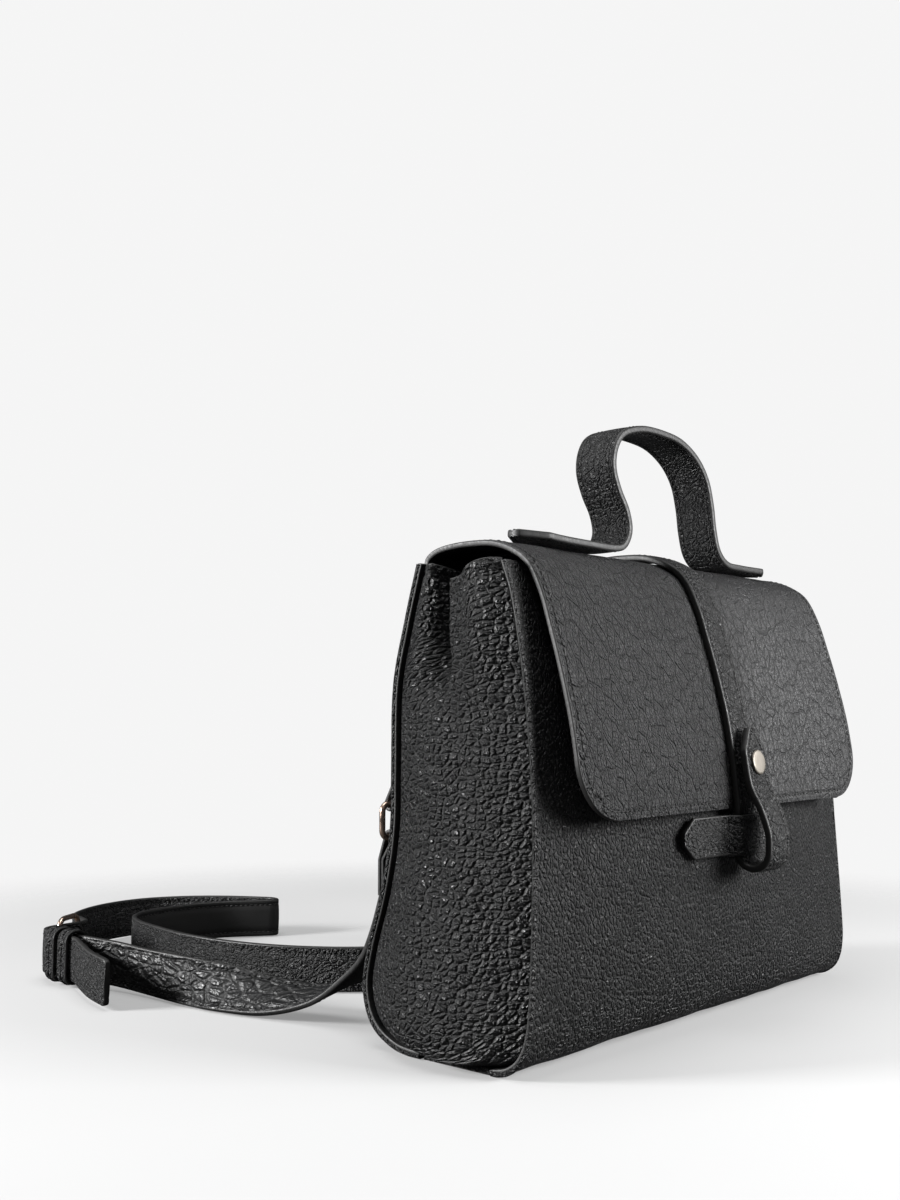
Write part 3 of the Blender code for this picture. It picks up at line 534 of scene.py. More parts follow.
def leather(name, colour, cell, relief, stretch=(1.0, 1.0), turn=0.0, pebble=1.0, small=0.3,
            crack=0.0, crack_size=0.010, crack_stretch=(1.0, 1.0), rough=(0.34, 0.60),
            fade=None, places="UV"):
    """Grained leather: pebbles with creases between them, fine pores, and a network of cracks."""
    made, tree, shader = new_material(name)
    flat = places == "UV"
    start = add(tree, "ShaderNodeTexCoord").outputs[places]
    moved = warped(tree, mapped(tree, start, stretch, turn), cell, 0.9)
    pebbles = span(tree, cell_edges(tree, moved, cell, flat), 0.0, 0.30)
    dots = span(tree, cell_edges(tree, moved, cell * 0.42, flat), 0.0, 0.30)
    pores = noise_at(tree, start, 2.2 / cell, 4.0, 0.65)
    broad = noise_at(tree, start, 26.0, 3.0)
    height = calc(tree, "MULTIPLY", pebbles, pebble)
    height = calc(tree, "ADD", height, calc(tree, "MULTIPLY", dots, small))
    height = calc(tree, "ADD", height, calc(tree, "MULTIPLY", pores, PORE_HEIGHT))
    left = 1.0
    if crack > 0:
        cracks, left = crack_network(tree, start, crack_size, crack_stretch, crack, flat)
        height = calc(tree, "ADD", height, cracks)
    if fade:
        across = add(tree, "ShaderNodeSeparateXYZ", {0: start}).outputs[0]
        drift = calc(tree, "ADD", across, calc(tree, "MULTIPLY", broad, 0.06))
        height = calc(tree, "MULTIPLY", height, span(tree, drift, fade[0], fade[1], 1.0, fade[2]))
    raise_surface(tree, shader, height, relief)
    # painted shade: the base colour is darker in the creases between pebbles and in the cracks, where shade
    # falls; the broad noise adds a random tone
    top = calc(tree, "MULTIPLY", pebbles, span(tree, broad, 0.3, 0.7, 0.55, 1.0))
    top = calc(tree, "MULTIPLY", top, left)
    tint(tree, shader, top, colour, 0.35)
    uneven = calc(tree, "ADD", span(tree, top, 0.0, 1.0, rough[1], rough[0]),
                  calc(tree, "MULTIPLY", calc(tree, "SUBTRACT", pores, 0.5), 0.12))
    tree.links.new(uneven, shader.inputs["Roughness"])
    return made


def painted_edge(name, colour):
    """The sealed edge of a strap: smoother than the leather, with faint ripples."""
    made, tree, shader = new_material(name)
    ripple = noise_at(tree, add(tree, "ShaderNodeTexCoord").outputs["UV"], 700.0, 3.0)
    raise_surface(tree, shader, ripple, 0.00012)
    tree.links.new(span(tree, ripple, 0.3, 0.7, 0.44, 0.60), shader.inputs["Roughness"])
    # painted shade: the edge is darker in the hollows of its ripples
    tint(tree, shader, ripple, colour, 0.6)
    return made


def suede(name, colour, places="UV", scale=2600.0):
    """The soft matt back of leather, or a plain board."""
    made, tree, shader = new_material(name)
    place = add(tree, "ShaderNodeTexCoord").outputs[places]
    nap = noise_at(tree, place, scale, 3.0, 0.7)
    raise_surface(tree, shader, nap, 0.0002, 0.8)
    tint(tree, shader, noise_at(tree, place, 40.0, 2.0), colour, 0.55)
    tree.links.new(span(tree, nap, 0.2, 0.8, 0.70, 0.90), shader.inputs["Roughness"])
    return made


def thread_material():
    made, tree, shader = new_material("thread")
    place = add(tree, "ShaderNodeTexCoord").outputs["UV"]
    twist = add(tree, "ShaderNodeTexWave", {"Vector": place, "Scale": 900.0, "Distortion": 1.0},
                bands_direction="DIAGONAL").outputs["Fac"]
    raise_surface(tree, shader, twist, 0.00012)
    # painted shade: the thread is darker in the grooves of its twist
    tint(tree, shader, twist, (0.009, 0.009, 0.009), 1 / 3)
    shader.inputs["Roughness"].default_value = 0.62
    return made


def metal(name, colour, rough):
    """Satin plated metal with faint rubbing marks."""
    made, tree, shader = new_material(name)
    place = add(tree, "ShaderNodeTexCoord").outputs["Object"]
    long_way = add(tree, "ShaderNodeMapping", {"Vector": place, "Scale": (900.0, 900.0, 160.0)}).outputs[0]
    clouds = noise_at(tree, place, 240.0, 2.0)
    raise_surface(tree, shader, noise_at(tree, long_way, 1.0, 3.0), 0.00003, 0.6)
    tree.links.new(span(tree, clouds, 0.3, 0.7, rough - 0.05, rough + 0.10), shader.inputs["Roughness"])
    tint(tree, shader, clouds, colour, 0.86)
    shader.inputs["Metallic"].default_value = 1.0
    return made


def woven(name, colour):
    """Lining cloth with a plain weave."""
    made, tree, shader = new_material(name)
    place = add(tree, "ShaderNodeTexCoord").outputs["Object"]
    bands = [add(tree, "ShaderNodeTexWave", {"Vector": place, "Scale": 320.0, "Distortion": 0.6,
                                             "Detail": 1.0}, bands_direction=way).outputs["Fac"]
             for way in ("X", "Z")]
    weave = calc(tree, "MULTIPLY", bands[0], bands[1])
    raise_surface(tree, shader, weave, 0.0003)
    # painted shade: the cloth is darker in the hollows between its threads
    tint(tree, shader, weave, colour, 0.4)
    shader.inputs["Roughness"].default_value = 0.86
    return made


BLACK = (0.0075, 0.0075, 0.0080)
PORE_HEIGHT = 0.18      # against a pebble's height of 1
GUSSET_GRAIN = leather("gusset_grain", BLACK, 0.0040, 0.0016, stretch=(1.15, 0.85), small=0.22,
                       crack=0.5, crack_size=0.018, crack_stretch=(1.7, 0.75), rough=(0.30, 0.60))
FRONT_GRAIN = leather("front_grain", BLACK, 0.0027, 0.0011, stretch=(0.8, 1.25), turn=0.7,
                      crack=0.5, crack_size=0.020, rough=(0.33, 0.60))
# painted sheen: the flap's black leather has a lighter base colour than the bag's other leather, standing in
# for the light it catches
FLAP_GRAIN = leather("flap_grain", (0.024, 0.024, 0.025), 0.0019, 0.0015, stretch=(0.9, 1.1),
                     pebble=0.3, small=0.12, crack=1.3, crack_size=0.0085,
                     crack_stretch=(0.75, 1.45), rough=(0.35, 0.62), fade=(-0.005, 0.075, 0.35))
STRAP_GRAIN = leather("strap_grain", BLACK, 0.0030, 0.0009, stretch=(1.2, 0.9), pebble=0.6,
                      crack=0.9, crack_size=0.0085, rough=(0.40, 0.58))
BOLD_GRAIN = leather("bold_grain", BLACK, 0.0065, 0.0008, stretch=(1.5, 0.8), small=0.2,
                     crack=0.4, crack_size=0.016, rough=(0.38, 0.56))
EDGE = painted_edge("painted_edge", (0.013, 0.0128, 0.0125))
SUEDE = suede("leather_back", (0.008, 0.0078, 0.0078))
SMOOTH_BACK = suede("smooth_back", (0.007, 0.007, 0.007), scale=1500.0)
THREAD_LOOK = thread_material()
STRAP_LOOKS = (STRAP_GRAIN, EDGE, SUEDE, THREAD_LOOK)
CLOTH = woven("lining_cloth", (0.035, 0.032, 0.032))
NICKEL = metal("satin_nickel", (0.18, 0.165, 0.145), 0.50)
BRONZE = metal("satin_bronze", (0.62, 0.46, 0.37), 0.26)


# ---------------------------------------------------------------- camera

def make_camera():
    camera = bpy.data.objects.new("camera", bpy.data.cameras.new("camera"))
    bpy.context.scene.collection.objects.link(camera)
    camera.location = (-0.600, -0.4008, 0.159)
    heading, pitch = math.radians(48.29), math.radians(4.82)
    look = Vector((math.sin(heading) * math.cos(pitch), math.cos(heading) * math.cos(pitch),
                   math.sin(pitch)))
    camera.rotation_mode = "QUATERNION"
    camera.rotation_quaternion = look.to_track_quat("-Z", "Y")
    camera.data.sensor_width = 36.0
    camera.data.lens = 39.22
    camera.data.clip_start = 0.01
    bpy.context.scene.camera = camera


# ---------------------------------------------------------------- shoulder strap

def strap_line(route):
    """Centres and width directions at even steps along a shoulder-strap route."""
    line = even_points(smooth_curve(route, 10), 0.0030)
    return line[:, :3], unit(line[:, 3:6])


def make_short_strap():
    """The short strap from the left ring to the buckle, lying twisted with its grain outwards."""
    centres, sides = strap_line(SHORT_ROUTE)
    halves = np.full(len(centres), SHOULDER_WIDTH / 2)
    skin = Skin()
    strap(skin, centres, sides, halves, SHOULDER_THICKNESS, (0, 1, 2), turned=True)
    strap_stitches(skin, centres, sides, halves, SHOULDER_THICKNESS, turned=True, both=True,
                   span=(3, -4))
    piece = skin.make("shoulder_strap_short", (BOLD_GRAIN, EDGE, SMOOTH_BACK, THREAD_LOOK))
    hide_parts("strap_short")
    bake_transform(piece)
    return piece, centres


def make_long_strap():
    """The long strap from its tip, through the buckle and its holes, to the right ring."""
    centres, sides = strap_line(TIP_ROUTE + LONG_ROUTE)
    halves = np.full(len(centres), SHOULDER_WIDTH / 2)
    halves[0] -= 0.0010
    split = int(np.argmin(np.linalg.norm(centres - np.array(LONG_ROUTE[0][:3]), axis=1)))
    skin = Skin()
    strap(skin, centres[:split + 1], sides[:split + 1], halves[:split + 1], SHOULDER_THICKNESS,
          (0, 1, 0), caps=(True, False))
    strap(skin, centres[split:], sides[split:], halves[split:], SHOULDER_THICKNESS, (0, 1, 2),
          caps=(False, True), start_at=travel_along(centres)[split])
    strap_stitches(skin, centres, sides, halves, SHOULDER_THICKNESS, both=True, span=(1, -4))
    face = strap_frame(centres, sides)[1]
    travel = travel_along(centres)
    rim = SHOULDER_THICKNESS / 2
    hole = ((0.0019, -rim - 0.0001), (0.0013, -rim - 0.0003), (0.0013, rim + 0.0003), (0.0019, rim + 0.0001))
    for reach in HOLE_PLACES:
        i = int(np.argmin(np.abs(travel - travel[split] - reach)))
        revolve(skin, hole, centres[i], face[i], 2, sides=20)
    piece = skin.make("shoulder_strap_long", (STRAP_GRAIN, EDGE, SMOOTH_BACK, THREAD_LOOK))
    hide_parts("strap_long", "strap_tip")
    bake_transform(piece)
    return piece, centres


def rounded_rectangle(half_a, half_b, corner, per_corner=6):
    """Points of a rounded rectangle about the origin, anticlockwise from its right side."""
    points = []
    for a, b, first in ((1, 1, 0), (-1, 1, 90), (-1, -1, 180), (1, -1, 270)):
        for angle in np.radians(np.linspace(first, first + 90, per_corner)):
            points.append((a * (half_a - corner) + corner * math.cos(angle),
                           b * (half_b - corner) + corner * math.sin(angle)))
    return np.array(points)


def make_strap_keeper(name, share, node):
    """A soft leather loop round the short strap and the tip."""
    start, end = np.array(TIP_ROUTE[4][:3]), np.array(TIP_ROUTE[5][:3])
    inner = np.array(SHORT_ROUTE[11][:3]) * (1 - share) + np.array(SHORT_ROUTE[12][:3]) * share
    middle = (start * (1 - share) + end * share + inner) / 2
    along = unit(end - start)
    across = unit(np.array([along[1], -along[0], 0.0]))
    outline = rounded_rectangle(0.0064, 0.0146, 0.0052, 8)
    closed = np.vstack([outline, outline[:1]])
    loop = np.array([middle + across * a + UP * b for a, b in closed])
    loop = even_points(loop, 0.0012)
    sides = np.tile(along, (len(loop), 1))
    halves = np.full(len(loop), 0.0043)
    skin = Skin()
    strap(skin, loop, sides, halves, 0.0017, (0, 1, 2), turned=True, groove=0.0001, crown=0.0006)
    piece = skin.make(name, (STRAP_GRAIN, EDGE, SMOOTH_BACK))
    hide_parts(node)
    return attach(piece, "bag")


def buckle_axes():
    along = unit(BUCKLE_FAR - BUCKLE_BAR)
    return along, np.array([-along[1], along[0], 0.0])


def make_buckle():
    """The wire frame, its prong, and the short strap's fold round the bar."""
    along, out = buckle_axes()
    length = np.linalg.norm(BUCKLE_FAR - BUCKLE_BAR)
    outline = rounded_rectangle(length / 2, BUCKLE_HEIGHT / 2 - BUCKLE_WIRE, 0.006, 9)
    skin = Skin()
    wire(skin, [BUCKLE_BAR + along * (a + length / 2) + UP * b for a, b in outline], BUCKLE_WIRE, 0)
    buckle = skin.make("buckle", (BRONZE,))
    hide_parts("buckle_frame")
    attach(buckle, "bag")
    skin = Skin()
    path = smooth_curve([BUCKLE_BAR + along * a + out * o for a, o in
                         ((0.0022, 0.0), (0.0055, 0.0012), (0.0110, 0.0030), (length + 0.0010, 0.0031))], 6)
    wire(skin, path, 0.0012, 0, closed=False, sides=12)
    prong = skin.make("prong_pin", (BRONZE,))
    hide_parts("buckle_prong")
    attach(prong, "prong")
    return [buckle, prong, make_buckle_fold()]


def make_buckle_fold():
    """The end of the short strap, folded round the buckle's bar and sewn down."""
    reach = BUCKLE_WIRE + 0.0012
    turn = np.radians(np.linspace(205, -60, 16))
    loop = [BUCKLE_BAR + reach * np.array([math.cos(a), math.sin(a), 0.0]) for a in turn]
    line = [(-0.1655, 0.2990, 0.0177)] + loop + [(-0.1630, 0.2975, 0.0177), (-0.1660, 0.2935, 0.0177)]
    centres = even_points(smooth_curve(line, 4), 0.0010)
    halves = np.full(len(centres), 0.0120)
    skin = Skin()
    strap(skin, centres, np.tile(UP, (len(centres), 1)), halves, 0.0016, (0, 1, 2), turned=True)
    piece = skin.make("buckle_fold", (STRAP_GRAIN, EDGE, SMOOTH_BACK))
    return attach(piece, "bag")


def make_shoulder_strap():
    short, short_line = make_short_strap()
    long_piece, long_line = make_long_strap()
    keepers = [make_strap_keeper("keeper_loop_front", -0.15, "strap_keeper_front"),
               make_strap_keeper("keeper_loop_rear", 0.60, "strap_keeper_rear")]
    make_buckle() + keepers


def fold_line(bar, radius, end_y, end_z, up):
    """Centre line of a strap folded round a bar: down one face, round, and up the other."""
    y, z = bar
    angles = np.linspace(math.pi, 2 * math.pi if up else 0.0, 13)
    arc = [(y + radius * math.cos(a), z + radius * math.sin(a)) for a in angles]
    reach = 0.0112 if up else -0.0112
    inner, outer = end_y
    return np.array([(inner, end_z), (inner, z + reach)] + arc + [(outer, z + reach), (outer, end_z)])


def folded_strap(name, x, line, node, body, rows):
    """A short doubled strap through a ring, with stitches across its outer layer."""
    points = even_points(line, 0.0011)
    centres = np.column_stack([np.full(len(points), x), points])
    sides = np.tile((1.0, 0.0, 0.0), (len(centres), 1))
    halves = np.full(len(centres), SHOULDER_WIDTH / 2)
    outward = strap_frame(centres, sides)[1][-3][1] < 0
    skin = Skin()
    strap(skin, centres, sides, halves, 0.0018, (0, 1, 2), turned=outward, crown=0.0002)
    face_y = centres[-3][1] + 0.0009
    for z in rows:
        across = [(x + w, face_y, z) for w in np.linspace(-FOLD_SEAM, FOLD_SEAM, 12)]
        stitch_row(skin, across, (0.0, 1.0, 0.0))
    for w in (-FOLD_SEAM, FOLD_SEAM):
        down = [(x + w, face_y, z) for z in np.linspace(rows[0], rows[-1], 12)]
        stitch_row(skin, down, (0.0, 1.0, 0.0))
    piece = skin.make(name, STRAP_LOOKS)
    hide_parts(node)
    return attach(piece, body)


def make_ring_sides():
    """On each side: the sewn anchor tab, the ring that hangs in it, and the strap end."""
    for side, word in ((-1, "left"), (1, "right")):
        x, radius = side * RING_X, RING_WIRE + GAP + 0.0009
        body = f"ring_{word}_body"
        tab = fold_line((RING_TOP[1], RING_TOP[2]), radius, (0.0440, 0.0462), 0.1440, True)
        folded_strap(f"anchor_{word}", x, tab, f"anchor_tab_{word}", "bag", (0.1415, 0.1270))
        low = fold_line((RING_TOP[1], RING_TOP[2] - RING_DROP), radius, (0.0540, 0.0562), 0.0690, False)
        folded_strap(f"strap_fold_{word}", x, low, f"strap_end_{word}", body, (0.0720, 0.0840))
        reach = SHOULDER_WIDTH / 2 + 0.0045
        outline = rounded_rectangle(reach, RING_DROP / 2, 0.0035, 7)
        skin = Skin()
        wire(skin, [(x + a, RING_TOP[1], RING_TOP[2] - RING_DROP / 2 + b) for a, b in outline], RING_WIRE, 0)
        piece = skin.make(f"strap_ring_{word}", (BRONZE,))
        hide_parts(f"ring_{word}")
        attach(piece, body)


# ---------------------------------------------------------------- walls

def edge_columns(half, count):
    """Places from -half to half, close together near the edges."""
    fine = np.array((0.0, 0.0006, 0.0014, 0.0024, 0.0034, 0.0042, 0.0050, 0.0060, 0.0075, 0.0095))
    middle = np.linspace(-half + fine[-1], half - fine[-1], count)
    return np.concatenate([-half + fine[:-1], middle, half - fine[:-1][::-1]])


def body_wall(name, profile, bulge, flip, node, material, seed):
    """A front or back panel that wraps under the bag, with the slack of soft leather."""
    dense = smooth_curve(profile)
    rows = even_points(dense[dense[:, 1] <= BODY_TOP], 0.0022)
    travel = travel_along(rows)
    outer, places = [], []
    for (y, z), down in zip(rows, travel):
        x = edge_columns(half_width(z), 90)
        swell = front_bulge(x, z) if bulge else np.zeros(len(x))
        outer.append(np.column_stack([x, y - swell, np.full(len(x), z)]))
        places.append(np.column_stack([x, np.full(len(x), down)]))
    outer, places = np.array(outer), np.array(places)
    free = smoothstep(0.0, 0.02, half_width(outer[..., 2]) - np.abs(outer[..., 0]))
    slack = 0.0011 * wobble(outer, 0.060, seed) + 0.0004 * wobble(outer, 0.018, seed + 1)
    outer -= grid_normals(outer, flip) * ((0.0008 + slack) * free)[..., None]
    skin = Skin()
    sheet(skin, outer, places, PANEL, (0, 1, 2), flip=flip)
    top = outer[2] + grid_normals(outer, flip)[2] * -0.0001
    stitches(skin, top[3:-3], grid_normals(outer, flip)[2][3:-3])
    piece = skin.make(name, (material, EDGE, SUEDE, THREAD_LOOK))
    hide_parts(node)
    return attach(piece, "bag")


def make_piping(name, profile, inset):
    """Thin covered cords along both side edges of a wall."""
    line = even_points(offset_profile(smooth_curve(profile), inset), 0.0015)
    skin = Skin()
    for side in (-1, 1):
        path = np.array([(side * (half_width(z) + 0.0002), y, max(z, 0.0014)) for y, z in line])
        along = unit(np.gradient(path, axis=0))
        across = np.array((1.0, 0.0, 0.0)) - along * along[:, :1]
        across = unit(across)
        fat = PIPING * (1 + 0.06 * wobble(path, 0.006, 5))
        tube(skin, path, across, np.cross(along, across), fat[:, None, None], 0.0013, 12, 0)
    piece = skin.make(name, (STRAP_GRAIN,))
    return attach(piece, "bag")


def crease(t, z, points, width):
    """How strongly a crease through the (t, z) points is felt at each place, from 0 to 1."""
    felt = np.zeros_like(t)
    for (t0, z0), (t1, z1) in zip(points, points[1:]):
        step = np.array([(t1 - t0) * 0.08, z1 - z0])
        share = ((t - t0) * 0.08 * step[0] + (z - z0) * step[1]) / (step @ step)
        share = np.clip(share, 0.0, 1.0)
        away = np.hypot((t - t0) * 0.08 - share * step[0], z - z0 - share * step[1])
        felt = np.maximum(felt, np.exp(-(away / width) ** 2))
    return felt


def gusset_places(t, z, side):
    """Where the side wall lies: how far out, and how its fold moves it back and down."""
    under = np.sin(math.pi / 2 * np.minimum(1.0, 0.25 + z / 0.024))
    swell = (0.013 * np.exp(-(z / 0.110) ** 2) + 0.005) * 4 * t * (1 - t) * under
    fold = smoothstep(0.158, 0.200, z)
    past = t - 0.50 - 0.10 * (1 - smoothstep(0.160, 0.190, z))
    pleat = PLEAT_DEPTH * fold * smoothstep(-0.050, 0.020, past) * (1 - smoothstep(0.03, 0.42, past))
    lip = 0.0050 * fold * np.exp(-((past + 0.045) / 0.045) ** 2)
    puff = fold * (0.0075 * np.exp(-((t - 0.24) / 0.16) ** 2) + 0.0030 * np.exp(-((t - 0.80) / 0.12) ** 2))
    relief = np.zeros_like(t)
    for points, width, depth in GUSSET_CREASES:
        relief -= depth * crease(t, z, points, width)
    spots = np.stack([t * 0.08, z, np.full_like(t, side * 0.2)], axis=-1)
    relief += 0.0016 * wobble(spots, 0.035, 11) + 0.0006 * wobble(spots, 0.012, 12)
    out = half_width(z) - 0.0015 + swell - pleat + puff + relief * np.minimum(1.0, 8 * t * (1 - t))
    dip = 0.0085 * (1 - smoothstep(0.0, 0.42, np.abs(t - 0.48))) * smoothstep(0.150, 0.228, z)
    return out, lip, dip


def make_gusset(side, word):
    """A side wall with a deep knife pleat at its top and creases running down from it."""
    inset = PANEL + 3 * GAP
    front = offset_profile(smooth_curve(FRONT_PROFILE), -inset)[::-1]
    back = offset_profile(smooth_curve(BACK_PROFILE), inset)[::-1]
    low, top = inset + GAP, BODY_TOP - 0.001
    hem = np.array((0.0050, 0.0044, 0.0040, 0.0034, 0.0026, 0.0016, 0.0008, 0.0))
    heights = np.concatenate([low + 0.020 * np.linspace(0.0, 1.0, 14)[:-1] ** 2,
                              np.linspace(low + 0.020, top - 0.0055, 112), top - hem])
    t, z = np.meshgrid(np.linspace(0.0, 1.0, 96), heights)
    y0, y1 = (np.interp(z, wall[:, 1], wall[:, 0]) for wall in (front, back))
    out, lip, dip = gusset_places(t, z, side)
    outer = np.stack([side * out, y0 + (y1 - y0) * t + lip, z - dip], axis=-1)
    flip = side > 0
    groove = 0.0005 * np.exp(-((top - z - 0.0040) / 0.0008) ** 2)
    outer -= grid_normals(outer, flip) * groove[..., None]
    across = np.linalg.norm(np.diff(outer, axis=1), axis=2)
    along = np.concatenate([np.zeros((len(heights), 1)), np.cumsum(across, axis=1)], axis=1)
    skin = Skin()
    sheet(skin, outer, np.stack([along, z], axis=-1), PANEL - 0.0008, (0, 1, 2), flip=flip)
    row = len(heights) - 6
    stitches(skin, outer[row, 3:-3], grid_normals(outer, flip)[row, 3:-3])
    piece = skin.make(f"side_wall_{word}", (GUSSET_GRAIN, EDGE, SUEDE, THREAD_LOOK))
    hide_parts(f"gusset_{word}")
    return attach(piece, "bag")


# ---------------------------------------------------------------- flap

def flap_line():
    """The flap's whole outer profile: up the back panel, over the top and down the front."""
    return smooth_curve(FLAP_TAIL + FLAP_PROFILE)


def flap_perimeter(x, rise):
    """Distance in from the flap's edge at x, a given way up from its lower edge."""
    corner_x = np.abs(x) - (FLAP_HALF_WIDTH - FLAP_CORNER)
    corner_s = FLAP_CORNER - rise
    plain = np.minimum(FLAP_HALF_WIDTH - np.abs(x), rise)
    rounded = FLAP_CORNER - np.hypot(np.maximum(corner_x, 0.0), np.maximum(corner_s, 0.0))
    return np.where((corner_x > 0) & (corner_s > 0), rounded, plain)


def flap_width(rise):
    """Half width of the flap a given way up from its lower edge, with its corners rounded."""
    drop = np.maximum(FLAP_CORNER - rise, 0.0)
    return FLAP_HALF_WIDTH - FLAP_CORNER + np.sqrt(np.maximum(FLAP_CORNER ** 2 - drop ** 2, 0.0))


def flap_points(x, travel):
    """Places on the flap's outer face and its outward directions there, without relief."""
    line = flap_line()
    spot = at_travel(line, travel)
    ahead = at_travel(line, travel + 0.0005) - at_travel(line, travel - 0.0005)
    tangent = unit(ahead)
    points = np.column_stack([x, spot])
    return points, np.column_stack([np.zeros(len(x)), tangent[:, 1], -tangent[:, 0]])


def flap_grid(travels, length):
    """The flap's outer grid between two distances along its line, with its relief."""
    rows, places = [], []
    for travel in travels:
        x = edge_columns(float(flap_width(length - travel)), 84)
        points, normals = flap_points(x, np.full(len(x), travel))
        depth = flap_perimeter(x, np.full(len(x), length - travel))
        relief = -0.00055 * np.exp(-((depth - FLAP_SEAM) / 0.0008) ** 2)
        relief -= 0.0004 * (1 - smoothstep(0.0, 0.0022, depth))
        spots = np.column_stack([x, np.full(len(x), travel), np.zeros(len(x))])
        slack = 0.0008 * wobble(spots, 0.050, 21) + 0.0003 * wobble(spots, 0.016, 22)
        relief += slack * smoothstep(0.004, 0.018, depth)
        rows.append(points + normals * relief[:, None])
        places.append(spots[:, :2])
    return np.array(rows), np.array(places)


def flap_stitches(skin, path):
    """Stitches on the flap along a path of (x, distance along the line)."""
    path = even_points(np.array(path), 0.0015)
    points, normals = flap_points(path[:, 0], path[:, 1])
    stitches(skin, points - normals * 0.00025, normals)


def flap_corner(side, length):
    """The stitch path round a lower corner, from the side down to the lower edge."""
    reach = FLAP_CORNER - FLAP_SEAM
    turn = np.radians(np.linspace(0, 90, 12))
    x = side * (FLAP_HALF_WIDTH - FLAP_CORNER + reach * np.cos(turn))
    return np.column_stack([x, length - FLAP_CORNER + reach * np.sin(turn)])


def make_flap():
    """The flap's tail and top in one piece and its front in another."""
    line = flap_line()
    length = travel_along(line)[-1]
    crest = int(np.argmin(np.abs(line[:, 0] + 0.0120) + (line[:, 1] < 0.230)))
    split = travel_along(line)[crest]
    inset = FLAP_HALF_WIDTH - FLAP_SEAM
    looks = (FLAP_GRAIN, EDGE, SUEDE, THREAD_LOOK)
    fine = np.array((0.0006, 0.0014, 0.0024, 0.0034, 0.0042, 0.0050, 0.0062))
    travels = np.concatenate([[0.0], fine, np.arange(0.008, split - 0.001, 0.0020), [split]])
    outer, places = flap_grid(travels, length)
    skin = Skin()
    sheet(skin, outer, places, PANEL, (0, 1, 2))
    flap_stitches(skin, [(-inset, split - 0.0008), (-inset, FLAP_SEAM)])
    flap_stitches(skin, [(-inset, FLAP_SEAM), (inset, FLAP_SEAM)])
    flap_stitches(skin, [(inset, FLAP_SEAM), (inset, split - 0.0008)])
    top = skin.make("flap_leather_top", looks)
    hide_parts("flap_tail", "flap_top")
    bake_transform(top)
    rounded = FLAP_CORNER * (1 - np.cos(np.radians(np.linspace(0, 90, 18))))
    rises = np.unique(np.round(np.concatenate([[0.0, 0.0006, 0.0014, 0.0024, 0.0034, 0.0042, 0.0050],
                                               rounded, np.arange(0.029, length - split, 0.0020),
                                               [length - split]]), 5))
    outer, places = flap_grid(length - rises[::-1], length)
    skin = Skin()
    sheet(skin, outer, places, PANEL, (0, 1, 2))
    for side in (-1, 1):
        flap_stitches(skin, [(side * inset, split + 0.0008), (side * inset, length - FLAP_CORNER)])
        flap_stitches(skin, flap_corner(side, length))
    low = FLAP_HALF_WIDTH - FLAP_CORNER
    flap_stitches(skin, [(-low, length - FLAP_SEAM), (low, length - FLAP_SEAM)])
    front = skin.make("flap_leather_front", looks)
    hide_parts("flap_front")
    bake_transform(front)


def along_x(line):
    """A Y-Z line as centres at X = 0, with width directions along X."""
    centres = np.column_stack([np.zeros(len(line)), line])
    return centres, np.tile((1.0, 0.0, 0.0), (len(centres), 1))


def make_closure():
    """The closure strap over the flap, its fold at the bottom, and the pointed tongue."""
    dense = smooth_curve(FLAP_PROFILE)
    centre = offset_profile(dense, GAP + STRAP / 2)
    start = int(np.argmin(np.abs(dense[:, 0] - 0.0160)))
    down = np.vstack([centre[start:], smooth_curve([centre[-1], CLOSURE_TAIL[0], CLOSURE_JOIN])[1:]])
    centres, sides = along_x(even_points(down, 0.0016))
    halves = np.full(len(centres), CLOSURE_WIDTH / 2)
    skin = Skin()
    strap(skin, centres, sides, halves, STRAP, (0, 1, 2))
    strap_stitches(skin, centres, sides, halves, STRAP)
    upper = skin.make("closure_upper", STRAP_LOOKS)
    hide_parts("closure_strap_top", "closure_strap")
    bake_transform(upper)
    turn = np.radians(np.linspace(0, -180, 20))
    loop = [(LOOP_CENTRE[0] + LOOP_RADIUS * math.cos(a), LOOP_CENTRE[1] + LOOP_RADIUS * math.sin(a))
            for a in turn]
    rise = smooth_curve([loop[-1]] + list(TONGUE_RISE))
    line = np.vstack([[CLOSURE_JOIN], loop, rise[1:]])
    centres, sides = along_x(even_points(line, 0.0011))
    to_tip = travel_along(centres)[-1] - travel_along(centres)
    halves = np.minimum(CLOSURE_WIDTH / 2, 0.0030 + 0.62 * to_tip)
    skin = Skin()
    strap(skin, centres, sides, halves, STRAP, (0, 1, 0))
    strap_stitches(skin, centres, sides, halves, STRAP, both=True, span=(0, -3))
    lower = skin.make("closure_fold", STRAP_LOOKS)
    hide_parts("closure_tongue")
    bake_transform(lower)
    make_snap_cap(rise)


def make_snap_cap(rise):
    """The domed metal cap of the snap, on the tongue's face."""
    y = float(np.interp(SNAP_Z, rise[:, 1], rise[:, 0]))
    axis = np.array([0.0, -math.cos(SNAP_LEAN), math.sin(SNAP_LEAN)])
    face = np.array([0.0, y, SNAP_Z]) + axis * STRAP / 2
    skin = Skin()
    outline = ((0.0060, -0.0002), (0.00625, 0.0002), (0.00630, 0.0007), (0.00620, 0.0011),
               (0.0058, 0.0014), (0.0050, 0.0015), (0.0034, 0.00158), (0.0016, 0.0016), (0.0003, 0.0016))
    revolve(skin, outline, face, axis, 0, sides=64)
    piece = skin.make("snap_button", (NICKEL,))
    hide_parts("snap_cap")
    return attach(piece, "tongue")


def wall_y(x, z):
    dense = smooth_curve(FRONT_PROFILE)[::-1]
    return float(np.interp(z, dense[:, 1], dense[:, 0])) - float(front_bulge(x, z))


